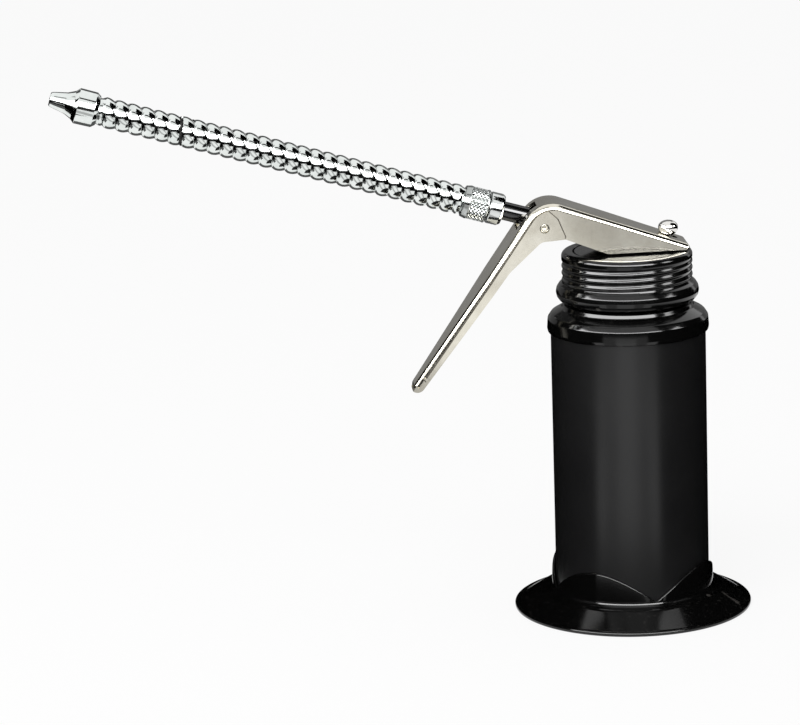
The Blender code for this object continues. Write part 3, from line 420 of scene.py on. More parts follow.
class Sketch:
    """Adds nodes to a node tree and links them."""

    def __init__(self, tree: bpy.types.NodeTree) -> None:
        """Start on a tree.

        Args:
            tree: The tree that gets the nodes.
        """
        self.tree = tree

    def add(self, kind: str, settings: dict | None = None, **values: Value) -> bpy.types.Node:
        """Add a node.

        Args:
            kind: Its type name.
            settings: Its properties by name.
            values: Its inputs by name with underscores for spaces, as a value or a socket.

        Returns:
            The new node.
        """
        node = self.tree.nodes.new(kind)
        for name, value in (settings or {}).items():
            setattr(node, name, value)
        for name, value in values.items():
            self.feed(node, name.replace("_", " "), value)
        return node

    def feed(self, node: bpy.types.Node, name: str | int, value: Value) -> None:
        """Set or link one input.

        Args:
            node: The node.
            name: The input's name or number.
            value: A plain value or another node's output.
        """
        if isinstance(value, bpy.types.NodeSocket):
            self.tree.links.new(value, node.inputs[name])
        else:
            node.inputs[name].default_value = value

    def math(self, operation: str, first: Value, second: Value = 0.0) -> bpy.types.NodeSocket:
        """Join two values by a sum, product or the like.

        Args:
            operation: The Math node's operation.
            first: A value or socket.
            second: A value or socket.

        Returns:
            The result's socket.
        """
        node = self.add("ShaderNodeMath", {"operation": operation})
        self.feed(node, 0, first)
        self.feed(node, 1, second)
        return node.outputs[0]

    def ranged(
        self, value: Value, low: float, high: float, to_low: float = 0.0, to_high: float = 1.0
    ) -> bpy.types.NodeSocket:
        """Map a value from one range to another.

        Args:
            value: The value or socket.
            low: Where the first range starts.
            high: Where the first range ends.
            to_low: Where the second range starts.
            to_high: Where the second range ends.

        Returns:
            The result's socket.
        """
        node = self.add("ShaderNodeMapRange")
        labels = ("Value", "From Min", "From Max", "To Min", "To Max")
        for label, given in zip(labels, (value, low, high, to_low, to_high)):
            self.feed(node, label, given)
        return node.outputs[0]


class Effect:
    """A shader node group with named inputs and outputs, shared by the finishes."""

    def __init__(self, name: str, inputs: dict[str, float | Place], outputs: Sequence[str]) -> None:
        """Start the group.

        Args:
            name: The group's name.
            inputs: Each input's name and default, where three numbers make a vector.
            outputs: The names of its outputs, all plain values.
        """
        self.tree = bpy.data.node_groups.new(name, "ShaderNodeTree")
        self.sketch = Sketch(self.tree)
        for label, default in inputs.items():
            kind = "NodeSocketVector" if isinstance(default, tuple) else "NodeSocketFloat"
            socket = self.tree.interface.new_socket(label, in_out="INPUT", socket_type=kind)
            socket.default_value = default
        for label in outputs:
            self.tree.interface.new_socket(label, in_out="OUTPUT", socket_type="NodeSocketFloat")
        self.start = self.tree.nodes.new("NodeGroupInput")
        self.end = self.tree.nodes.new("NodeGroupOutput")

    def given(self, label: str) -> bpy.types.NodeSocket:
        """Return the socket of one of the group's inputs."""
        return self.start.outputs[label]

    def put(self, label: str, value: bpy.types.NodeSocket) -> None:
        """Link a value to one of the group's outputs."""
        self.tree.links.new(value, self.end.inputs[label])

    def use(self, sketch: Sketch, **values: Value) -> bpy.types.Node:
        """Place the group in a material.

        Args:
            sketch: The material's sketch.
            values: The group's inputs, with underscores for spaces.

        Returns:
            The group's node.
        """
        return sketch.add("ShaderNodeGroup", {"node_tree": self.tree}, **values)


class Effects:
    """The shared effects, each built once."""

    origin: Place = (0.0, 0.0, 0.0)
    flat: float = 0.5
    scratch_band: tuple[float, float] = (0.52, 0.68)
    gloss_shift: float = 7.3
    drift_band: tuple[float, float] = (-0.25, 0.25)
    break_band: tuple[float, float] = (0.4, 0.62)
    wear_start: float = 0.15
    dust_slope: float = 0.2
    dust_band: tuple[float, float] = (0.62, 0.74)
    hollow_shade_start: float = 0.1

    def __init__(self) -> None:
        """Build every group."""
        self.grain = self._grain()
        self.drift = self._drift()
        self.wear = self._wear()
        self.dust = self._dust()
        # painted shade in hollows, where Pointiness is low
        self.hollow_shade = self._hollow_shade()

    def _grain(self) -> Effect:
        """Build the fine grain: noise stretched along one direction, with a height and a mask.

        Returns:
            The grain's group.
        """
        inputs = {"Place": self.origin, "Stretch": (1.0, 1.0, 1.0), "Fineness": 800.0}
        effect = Effect("surface_grain", inputs, ("Height", "Mask"))
        sketch = effect.sketch
        spread = sketch.add("ShaderNodeVectorMath", {"operation": "MULTIPLY"})
        sketch.feed(spread, 0, effect.given("Place"))
        sketch.feed(spread, 1, effect.given("Stretch"))
        noise = sketch.add(
            "ShaderNodeTexNoise", Vector=spread.outputs[0], Scale=effect.given("Fineness"), Detail=3.0
        )
        effect.put("Height", noise.outputs["Fac"])
        effect.put("Mask", sketch.ranged(noise.outputs["Fac"], *self.scratch_band))
        return effect

    def _drift(self) -> Effect:
        """Build the slow drift of tone and gloss over a surface, from 0 to 1.

        Returns:
            The drift's group.
        """
        inputs = {"Place": self.origin, "Size": 60.0, "Contrast": 1.0}
        effect = Effect("tone_drift", inputs, ("Tone", "Gloss"))
        sketch = effect.sketch
        for label, shift in (("Tone", 0.0), ("Gloss", self.gloss_shift)):
            shifted = sketch.add("ShaderNodeVectorMath", {"operation": "ADD"})
            sketch.feed(shifted, 0, effect.given("Place"))
            sketch.feed(shifted, 1, (shift, shift, shift))
            noise = sketch.add(
                "ShaderNodeTexNoise", Vector=shifted.outputs[0], Scale=effect.given("Size"), Detail=4.0,
                Roughness=0.6,
            )
            centred = sketch.math("SUBTRACT", noise.outputs["Fac"], self.flat)
            spread = sketch.math("MULTIPLY", centred, effect.given("Contrast"))
            effect.put(label, sketch.ranged(spread, *self.drift_band))
        return effect

    def _wear(self) -> Effect:
        """Build edge wear: convex edges, broken up by noise.

        Returns:
            The wear's group.
        """
        effect = Effect("edge_wear", {"Place": self.origin, "Reach": 0.08, "Breakup": 300.0}, ("Mask",))
        sketch = effect.sketch
        geometry = sketch.add("ShaderNodeNewGeometry")
        edge = sketch.math("SUBTRACT", geometry.outputs["Pointiness"], self.flat)
        share = sketch.math("DIVIDE", edge, effect.given("Reach"))
        noise = sketch.add(
            "ShaderNodeTexNoise", Vector=effect.given("Place"), Scale=effect.given("Breakup"), Detail=3.0
        )
        broken = sketch.math("MULTIPLY", share, sketch.ranged(noise.outputs["Fac"], *self.break_band))
        effect.put("Mask", sketch.ranged(broken, self.wear_start, 1.0))
        return effect

    def _dust(self) -> Effect:
        """Build dust that settles on faces that look up.

        Returns:
            The dust's group.
        """
        inputs = {"Place": self.origin, "Up": (0.0, 0.0, 1.0), "Speck": 900.0}
        effect = Effect("settled_dust", inputs, ("Mask",))
        sketch = effect.sketch
        coordinates = sketch.add("ShaderNodeTexCoord")
        upward = sketch.add("ShaderNodeVectorMath", {"operation": "DOT_PRODUCT"})
        sketch.feed(upward, 0, coordinates.outputs["Normal"])
        sketch.feed(upward, 1, effect.given("Up"))
        level = sketch.ranged(upward.outputs["Value"], self.dust_slope, 1.0)
        specks = sketch.add(
            "ShaderNodeTexNoise", Vector=effect.given("Place"), Scale=effect.given("Speck"), Detail=2.0
        )
        dots = sketch.ranged(specks.outputs["Fac"], *self.dust_band)
        effect.put("Mask", sketch.math("MULTIPLY", dots, level))
        return effect

    def _hollow_shade(self) -> Effect:
        """Build the painted shade that darkens hollows.

        Returns:
            The painted shade's group.
        """
        effect = Effect("painted_hollow_shade", {"Reach": 0.06}, ("Mask",))
        sketch = effect.sketch
        geometry = sketch.add("ShaderNodeNewGeometry")
        hollow = sketch.math("SUBTRACT", self.flat, geometry.outputs["Pointiness"])
        share = sketch.math("DIVIDE", hollow, effect.given("Reach"))
        effect.put("Mask", sketch.ranged(share, self.hollow_shade_start, 1.0))
        return effect


def mixed(sketch: Sketch, share: Value, first: Value, second: Value) -> bpy.types.NodeSocket:
    """Mix two colours.

    Args:
        sketch: The sketch that gets the node.
        share: How much of the second colour shows.
        first: The first colour or its socket.
        second: The second colour or its socket.

    Returns:
        The mixed colour's socket.
    """
    node = sketch.add("ShaderNodeMix", {"data_type": "RGBA"})
    colours = [
        value if isinstance(value, bpy.types.NodeSocket) else (*value, 1.0) for value in (first, second)
    ]
    # the Mix node keeps sockets for values and vectors before those for colours
    sketch.feed(node, 0, share)
    sketch.feed(node, 6, colours[0])
    sketch.feed(node, 7, colours[1])
    return node.outputs[2]


@dataclass(frozen=True)
class Draft:
    """A material in the making, which each kind of finish completes in its own way."""

    sketch: Sketch
    shader: bpy.types.Node
    effects: Effects
    place: bpy.types.NodeSocket
    tone: bpy.types.NodeSocket
    gloss: bpy.types.NodeSocket
    grain: bpy.types.Node


@dataclass(frozen=True)
class Finish:
    """What every finish has: a name, tones, gloss and a fine relief."""

    name: str
    colour: Colour
    other_colour: Colour
    roughness: float
    rougher: float
    drift_size: float
    grain_fineness: float
    relief: float
    grain_stretch: Place = (1.0, 1.0, 1.0)

    def material(self, effects: Effects) -> bpy.types.Material:
        """Build the material.

        Args:
            effects: The shared effects.

        Returns:
            The finished material.
        """
        made = bpy.data.materials.new(self.name)
        made.use_nodes = True
        sketch = Sketch(made.node_tree)
        shader = made.node_tree.nodes["Principled BSDF"]
        place = sketch.add("ShaderNodeTexCoord").outputs["Object"]
        drift = effects.drift.use(sketch, Place=place, Size=self.drift_size)
        grain = effects.grain.use(
            sketch, Place=place, Stretch=self.grain_stretch, Fineness=self.grain_fineness
        )
        tone = mixed(sketch, drift.outputs["Tone"], self.colour, self.other_colour)
        gloss = sketch.ranged(drift.outputs["Gloss"], 0.0, 1.0, self.roughness, self.rougher)
        bump = sketch.add("ShaderNodeBump", Height=grain.outputs["Height"], Distance=self.relief)
        self.complete(Draft(sketch, shader, effects, place, tone, gloss, grain))
        sketch.feed(shader, "Normal", bump.outputs["Normal"])
        made.diffuse_color = (*self.colour, 1.0)
        return made

    def complete(self, draft: Draft) -> None:
        """Link tone and gloss as they are."""
        draft.sketch.feed(draft.shader, "Base Color", draft.tone)
        draft.sketch.feed(draft.shader, "Roughness", draft.gloss)


@dataclass(frozen=True)
class Paint(Finish):
    """Black paint on metal, with worn edges and a little dust."""

    specular: float = 0.5
    worn_colour: Colour = (0.055, 0.052, 0.048)
    worn_share: float = 1.0
    wear_reach: float = 0.12
    dust_colour: Colour = (0.16, 0.155, 0.145)
    dust_share: float = 0.12
    dust_rougher: float = 0.6

    def complete(self, draft: Draft) -> None:
        """Add wear and dust to the paint.

        Args:
            draft: The material so far.
        """
        sketch, shader = draft.sketch, draft.shader
        wear = draft.effects.wear.use(sketch, Place=draft.place, Reach=self.wear_reach)
        dust = draft.effects.dust.use(sketch, Place=draft.place)
        dusty = sketch.math("MULTIPLY", dust.outputs["Mask"], self.dust_share)
        shown = sketch.math("MULTIPLY", wear.outputs["Mask"], self.worn_share)
        worn = mixed(sketch, shown, draft.tone, self.worn_colour)
        sketch.feed(shader, "Base Color", mixed(sketch, dusty, worn, self.dust_colour))
        dulled = sketch.math("MULTIPLY", dusty, self.dust_rougher)
        sketch.feed(shader, "Roughness", sketch.math("ADD", draft.gloss, dulled))
        shader.inputs["Specular IOR Level"].default_value = self.specular


@dataclass(frozen=True)
class Metal(Finish):
    """Bare or plated metal, with fine scratches, tarnish in soft patches and painted shade in its hollows."""

    scratch_rougher: float = 0.06
    tarnish_colour: Colour = (0.5, 0.46, 0.38)
    tarnish_share: float = 0.0
    tarnish_size: float = 220.0
    tarnish_contrast: float = 1.6
    tarnish_rougher: float = 0.12
    hollow_shade_colour: Colour = (0.10, 0.105, 0.10)
    hollow_shade_share: float = 0.0

    def complete(self, draft: Draft) -> None:
        """Add scratches, tarnish and painted hollow shade to the metal.

        Args:
            draft: The material so far.
        """
        sketch, shader = draft.sketch, draft.shader
        patches = draft.effects.drift.use(
            sketch, Place=draft.place, Size=self.tarnish_size, Contrast=self.tarnish_contrast
        )
        tarnish = sketch.math("MULTIPLY", patches.outputs["Gloss"], self.tarnish_share)
        darkened = mixed(sketch, tarnish, draft.tone, self.tarnish_colour)
        # painted shade: hollows, where Pointiness is low, are darkened
        hollows = draft.effects.hollow_shade.use(sketch)
        hollow_shaded = sketch.math("MULTIPLY", hollows.outputs["Mask"], self.hollow_shade_share)
        sketch.feed(shader, "Base Color", mixed(sketch, hollow_shaded, darkened, self.hollow_shade_colour))
        scratched = sketch.math("MULTIPLY", draft.grain.outputs["Mask"], self.scratch_rougher)
        dulled = sketch.math("MULTIPLY", tarnish, self.tarnish_rougher)
        rough = sketch.math("ADD", sketch.math("ADD", draft.gloss, scratched), dulled)
        sketch.feed(shader, "Roughness", rough)
        shader.inputs["Metallic"].default_value = 1.0


@dataclass(frozen=True)
class Rubber(Finish):
    """Dull rubber with a pale bloom in patches."""

    bloom_colour: Colour = (0.07, 0.068, 0.066)
    specular: float = 0.0

    def complete(self, draft: Draft) -> None:
        """Add the bloom to the rubber.

        Args:
            draft: The material so far.
        """
        bloom = mixed(draft.sketch, draft.grain.outputs["Mask"], draft.tone, self.bloom_colour)
        draft.sketch.feed(draft.shader, "Base Color", bloom)
        draft.sketch.feed(draft.shader, "Roughness", draft.gloss)
        draft.shader.inputs["Specular IOR Level"].default_value = self.specular


class Finishes:
    """Every material of the can, built once."""

    turned: Place = (1.0, 1.0, 8.0)

    def __init__(self, effects: Effects) -> None:
        """Build the materials.

        Args:
            effects: The shared effects.
        """
        self.satin_black = Paint(
            "satin_black", (0.0045, 0.0045, 0.005), (0.008, 0.008, 0.0084), roughness=0.28, rougher=0.34,
            drift_size=22.0, grain_fineness=2600.0, relief=0.000008,
        ).material(effects)
        self.gloss_black = Paint(
            "gloss_black", (0.0015, 0.0015, 0.0015), (0.0026, 0.0026, 0.0026), roughness=0.10, rougher=0.15,
            drift_size=40.0, grain_fineness=900.0, relief=0.000006,
        ).material(effects)
        self.cast_black = Paint(
            "cast_black", (0.012, 0.012, 0.012), (0.02, 0.02, 0.0195), roughness=0.5, rougher=0.6,
            drift_size=80.0, grain_fineness=1500.0, relief=0.00003, worn_share=0.0, specular=0.02,
        ).material(effects)
        self.tube_black = Paint(
            "tube_black", (0.003, 0.003, 0.003), (0.005, 0.005, 0.005), roughness=0.05, rougher=0.08,
            drift_size=80.0, grain_fineness=1200.0, relief=0.000003, worn_share=0.0, specular=0.8,
        ).material(effects)
        self.nickel = Metal(
            "nickel", (0.92, 0.895, 0.80), (0.85, 0.81, 0.69), roughness=0.08, rougher=0.12,
            drift_size=60.0, grain_fineness=500.0, relief=0.000001, scratch_rougher=0.02,
            tarnish_share=0.4, tarnish_size=90.0,
        ).material(effects)
        self.chrome = Metal(
            "bright_nickel", (0.86, 0.85, 0.82), (0.80, 0.79, 0.76), roughness=0.05, rougher=0.09,
            drift_size=160.0, grain_fineness=900.0, relief=0.000002,
        ).material(effects)
        # painted shade darkens the collar's hollows
        self.zinc = Metal(
            "zinc", (0.80, 0.82, 0.81), (0.70, 0.72, 0.71), roughness=0.05, rougher=0.09,
            drift_size=200.0, grain_fineness=1400.0, relief=0.00001,
            tarnish_colour=(0.5, 0.53, 0.52), tarnish_share=0.3, hollow_shade_share=0.85,
        ).material(effects)
        # painted shade: dark nickel for the strip in the flanges' creases, where the real crease only lies in
        # shade
        self.darkened = Metal(
            "crease_shade_nickel", (0.16, 0.15, 0.125), (0.11, 0.10, 0.085), roughness=0.3, rougher=0.4,
            drift_size=160.0, grain_fineness=900.0, relief=0.000004,
        ).material(effects)
        # painted shade: a darker copy of zinc with fine dark speckle, standing in for the knurl's shaded
        # facets
        self.shaded_knurl_zinc = Metal(
            "shaded_knurl_zinc", (0.62, 0.64, 0.63), (0.48, 0.50, 0.49), roughness=0.08, rougher=0.14,
            drift_size=700.0, grain_fineness=1400.0, relief=0.000006,
            tarnish_colour=(0.3, 0.32, 0.31), tarnish_share=0.5, tarnish_size=600.0, hollow_shade_share=0.9,
        ).material(effects)
        # painted shade darkens hollows such as the hose's rib valleys
        self.bright_steel = Metal(
            "bright_steel", (0.90, 0.93, 0.91), (0.80, 0.84, 0.82), roughness=0.05, rougher=0.08,
            drift_size=150.0, grain_fineness=1200.0, relief=0.000002, scratch_rougher=0.02,
            tarnish_colour=(0.5, 0.54, 0.52), tarnish_share=0.3, hollow_shade_share=0.7,
        ).material(effects)
        self.steel = Metal(
            "steel", (0.58, 0.58, 0.59), (0.48, 0.48, 0.49), roughness=0.28, rougher=0.4,
            drift_size=200.0, grain_fineness=900.0, relief=0.00002, grain_stretch=self.turned,
        ).material(effects)
        self.brass = Metal(
            "brass", (0.76, 0.60, 0.30), (0.66, 0.50, 0.23), roughness=0.25, rougher=0.38,
            drift_size=200.0, grain_fineness=900.0, relief=0.00002, grain_stretch=self.turned,
            tarnish_colour=(0.45, 0.34, 0.16), tarnish_share=0.4,
        ).material(effects)
        self.rubber = Rubber(
            "rubber", (0.03, 0.03, 0.03), (0.022, 0.022, 0.022), roughness=0.6, rougher=0.75,
            drift_size=120.0, grain_fineness=900.0, relief=0.00005,
        ).material(effects)


@dataclass
class BasePan:
    """Pressed foot with a curled rim and a scalloped collar round the body."""

    sheet: float = 0.001
    rise: float = 0.0058
    rim_height: float = 0.0013
    floor_radius: float = 0.0245
    notch_height: float = 0.0080
    scallop_rise: float = 0.0098
    scallops: int = 4
    notch_angle: float = 10.0
    gap: float = GAP
    fillet: float = 0.0024
    steps: int = 288

    def peak(self) -> float:
        """Return the height of the petals' tops."""
        return self.notch_height + self.scallop_rise

    def outline(self, radius: float, collar_bore: float) -> Outline:
        """Lay out the section.

        Args:
            radius: The rim's radius.
            collar_bore: The collar's inner radius.

        Returns:
            Radius and height of each point.
        """
        outer = collar_bore + self.sheet
        peak = self.peak()
        half = self.sheet / 2
        corners = [
            # underside: the flat disc, the hollow ring and its way down to the rim
            Corner(0.0, 0.0), Corner(self.floor_radius, 0.0, self.sheet),
            Corner(outer - self.sheet, self.rise - self.sheet * 2),
            Corner(outer + self.fillet, self.rise - self.sheet, self.sheet),
            Corner(radius - self.sheet * 1.5, half), Corner(radius - self.sheet, 0.0, half / 2),
            # curled rim
            Corner(radius, 0.0, self.rim_height * 0.45),
            Corner(radius, self.rim_height, self.rim_height * 0.45),
            Corner(radius - self.sheet, self.rim_height * 1.28, self.sheet * 0.9),
            Corner(radius - self.sheet * 1.6, self.rim_height * 1.1, self.sheet * 0.5),
            # upper side, over the fillet to the collar
            Corner(outer + self.fillet * 1.6, self.rise + self.sheet * 0.42, self.sheet * 3.0),
            Corner(outer + self.fillet * 0.1, self.rise + self.sheet * 0.9, self.fillet * 0.8),
            Corner(outer, peak, half * 0.98), Corner(collar_bore, peak, half * 0.98),
            Corner(collar_bore, self.sheet), Corner(0.0, self.sheet),
        ]
        return rounded(corners, step=9.0)

    def build(self, finishes: Finishes) -> Pieces:
        """Build and dress the foot.

        Args:
            finishes: The can's materials.

        Returns:
            The foot, alone in a list.
        """
        _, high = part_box("base_pan")
        _, body_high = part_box("can_body")
        peak = self.peak()

        def scallop(radius: Grid, angle: Grid, height: Grid) -> Moved:
            """Lower the collar's edge between its petals.

            Args:
                radius: The points' radii.
                angle: Their angles.
                height: Their heights.

            Returns:
                The new radii and heights.
            """
            turn = (angle - math.radians(self.notch_angle)) * self.scallops / 2
            drop = self.scallop_rise * (1 - np.abs(np.sin(turn)))
            return radius, np.where(height > peak - self.sheet, height - drop, height)

        outline = self.outline(high.y, body_high.y + self.gap)
        piece = lathe("foot", outline, self.steps, scallop)
        return [dress(piece, Body.CAN, finishes.gloss_black, ["base_pan"])]


@dataclass
class CanShell:
    """Body tube and can top with its seam ring, shoulder and threaded neck."""

    wall: float = 0.0008
    gap: float = GAP
    ring_sheet: float = 0.0007
    shoulder_radius: float = 0.0218
    neck_root: float = 0.02045
    neck_bore: float = 0.0196
    pitch: float = 0.0024
    depth: float = 0.0008
    turns: float = 4.2
    run_out: float = 0.0011
    rows: int = 12
    steps: int = 192

    def build_body(self, finishes: Finishes) -> bpy.types.Object:
        """Build and dress the body tube.

        Args:
            finishes: The can's materials.

        Returns:
            The tube.
        """
        low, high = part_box("can_body")
        bore = high.y - self.wall
        outline = rounded(
            [
                Corner(bore, low.z), Corner(high.y, low.z, self.wall / 3), Corner(high.y, low.z + self.wall),
                Corner(high.y, high.z - self.wall), Corner(high.y, high.z, self.wall / 3),
                Corner(bore, high.z),
            ],
            step=30.0,
        )
        piece = lathe("body_tube", outline, self.steps)
        return dress(piece, Body.CAN, finishes.satin_black, ["can_body"])

    def thread_rows(self) -> Grid:
        """Return the heights of the rows of points on the neck's thread."""
        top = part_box("can_top")[1].z - self.wall
        return np.linspace(top - self.pitch * self.turns, top, round(self.turns * self.rows))

    def top_outline(self, rows: Grid) -> Outline:
        """Lay out the section of seam ring, shoulder and neck.

        Args:
            rows: The heights of the thread's rows of points.

        Returns:
            Radius and height of each point.
        """
        _, body_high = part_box("can_body")
        low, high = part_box("can_top")
        bore = body_high.y + self.gap
        ring = bore + self.ring_sheet
        bottom, top = low.z + self.wall * 0.75, high.z
        seam_top = bottom + self.wall * 7.25
        crown = seam_top + self.wall * 5
        outer = rounded(
            [
                # seam ring
                Corner(bore, bottom - self.wall / 8),
                Corner(ring - self.wall * 0.1, bottom - self.wall / 4, self.wall * 0.4),
                Corner(ring + self.wall * 0.22, bottom + self.wall * 1.2, self.wall * 0.8),
                Corner(ring - self.wall * 0.1, seam_top - self.wall * 1.7, self.wall * 1.2),
                Corner(ring - self.wall * 1.4, seam_top + self.wall * 0.3, self.wall * 1.6),
                # shoulder and the neck's foot
                Corner(self.shoulder_radius + self.wall * 1.3, crown - self.wall * 2.1, self.wall),
                Corner(self.shoulder_radius + self.wall * 0.8, crown - self.wall * 0.5, self.wall * 0.6),
                Corner(self.neck_root, crown + self.wall * 0.6, self.wall * 0.9),
                Corner(self.neck_root, rows[0] - self.wall / 2), Corner(bore, crown),
            ],
            step=8.0,
        )[:-1]
        inner = [(self.neck_root, float(row)) for row in rows] + rounded(
            [
                Corner(self.neck_root, top - self.wall), Corner(self.neck_root, top, self.wall / 3),
                Corner(self.neck_bore, top, self.wall / 3), Corner(self.neck_bore, crown - self.wall / 2),
                Corner(self.shoulder_radius - self.wall, crown - self.wall, self.wall),
                Corner(body_high.y - self.wall - self.gap, body_high.z + self.gap * 2, self.wall * 2),
                Corner(body_high.y - self.wall, body_high.z + self.gap), Corner(bore, body_high.z + self.gap),
            ],
            step=12.0,
        )[1:]
        return outer + inner

    def build_top(self, finishes: Finishes) -> bpy.types.Object:
        """Build and dress the can top.

        Args:
            finishes: The can's materials.

        Returns:
            The can top.
        """
        rows = self.thread_rows()

        def thread(radius: Grid, angle: Grid, height: Grid) -> Moved:
            """Raise the neck's thread.

            Args:
                radius: The points' radii.
                angle: Their angles.
                height: Their heights.

            Returns:
                The new radii and heights.
            """
            inside = np.minimum(height - rows[0], rows[-1] - height)
            fade = np.clip(inside / self.run_out, 0.0, 1.0)
            crest = 0.5 + 0.5 * np.cos(FULL_TURN * (height / self.pitch - angle / FULL_TURN))
            on_neck = (radius > self.neck_root - self.wall / 4) & (radius < self.neck_root + self.wall / 4)
            return np.where(on_neck, radius + self.depth * fade * crest, radius), height

        piece = lathe("can_crown", self.top_outline(rows), self.steps, thread)
        return dress(piece, Body.CAN, finishes.gloss_black, ["can_top"])

    def build(self, finishes: Finishes) -> Pieces:
        """Build and dress the body tube and the can top."""
        return [self.build_body(finishes), self.build_top(finishes)]


@dataclass
class ScrewCap:
    """Pressed union nut with a rolled thread and a bulging skirt."""

    sheet: float = 0.0008
    outer: float = 0.0225
    skirt_bottom: float = 0.1090
    skirt_top: float = 0.1155
    skirt_radius: float = 0.0246
    lip_sheet: float = 0.0010
    hole: float = 0.0186
    edge: float = 0.0017
    pitch: float = 0.0024
    depth: float = 0.00042
    turns: float = 3.5
    run_out: float = 0.0011
    rows: int = 14
    steps: int = 256
    # shares of the skirt's swell and of its height, from below
    skirt_shares: tuple[tuple[float, float], ...] = (
        (0.02, 0.0), (0.52, 0.1), (0.86, 0.27), (1.0, 0.48), (0.88, 0.7), (0.5, 0.9),
    )
    skirt_bends: tuple[float, ...] = (0.0, 0.0006, 0.001, 0.0012, 0.001, 0.0006)

    def thread_rows(self) -> list[float]:
        """Return the heights of the rows of points on the cap's thread."""
        end = self.skirt_top + self.pitch * self.turns
        return [float(z) for z in np.linspace(self.skirt_top, end, round(self.turns * self.rows))]

    def outline(self, rows: Sequence[float], bore: float, top: float) -> Outline:
        """Lay out the cap's section.

        Args:
            rows: The heights of the thread's rows of points.
            bore: The wall's inner radius.
            top: The cap's top.

        Returns:
            Radius and height of each point.
        """
        height = self.skirt_top - self.skirt_bottom
        swell = self.skirt_radius - self.outer
        skirt = [
            Corner(self.outer + swell * out, self.skirt_bottom + height * up, bend)
            for (out, up), bend in zip(self.skirt_shares, self.skirt_bends)
        ]
        wall = [Corner(self.outer, rows[0]), Corner(self.outer, rows[-1]), Corner(bore, rows[-1])]
        outside = rounded([*skirt, *wall], step=6.0)[:-3]
        inside = [(radius - self.sheet, z) for radius, z in reversed(outside)]
        crown = rounded(
            [
                Corner(self.outer, rows[-1]), Corner(self.outer, top, self.edge),
                Corner(self.hole, top, self.lip_sheet / 3), Corner(self.hole, top - self.lip_sheet),
                Corner(bore, top - self.lip_sheet, self.sheet / 2), Corner(bore, rows[-1]),
            ],
            step=9.0,
        )
        outside += [(self.outer, z) for z in rows] + crown[1:-1]
        return outside + [(bore, z) for z in reversed(rows)] + inside

    def build(self, finishes: Finishes) -> Pieces:
        """Build and dress the cap.

        Args:
            finishes: The can's materials.

        Returns:
            The cap, alone in a list.
        """
        _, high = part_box("screw_cap")
        bore = self.outer - self.sheet
        rows = self.thread_rows()

        def thread(radius: Grid, angle: Grid, height: Grid) -> Moved:
            """Roll the thread into the cap's wall.

            Args:
                radius: The points' radii.
                angle: Their angles.
                height: Their heights.

            Returns:
                The new radii and heights.
            """
            within = np.minimum(height - rows[0], rows[-1] - height)
            fade = np.clip(within / self.run_out, 0.0, 1.0)
            groove = 0.5 - 0.5 * np.cos(FULL_TURN * (height / self.pitch - angle / FULL_TURN))
            on_wall = radius > bore - self.sheet / 2
            return np.where(on_wall, radius - self.depth * fade * groove, radius), height

        piece = lathe("union_cap", self.outline(rows, bore, high.z), self.steps, thread)
        return [dress(piece, Body.CAP, finishes.gloss_black, ["screw_cap"])]


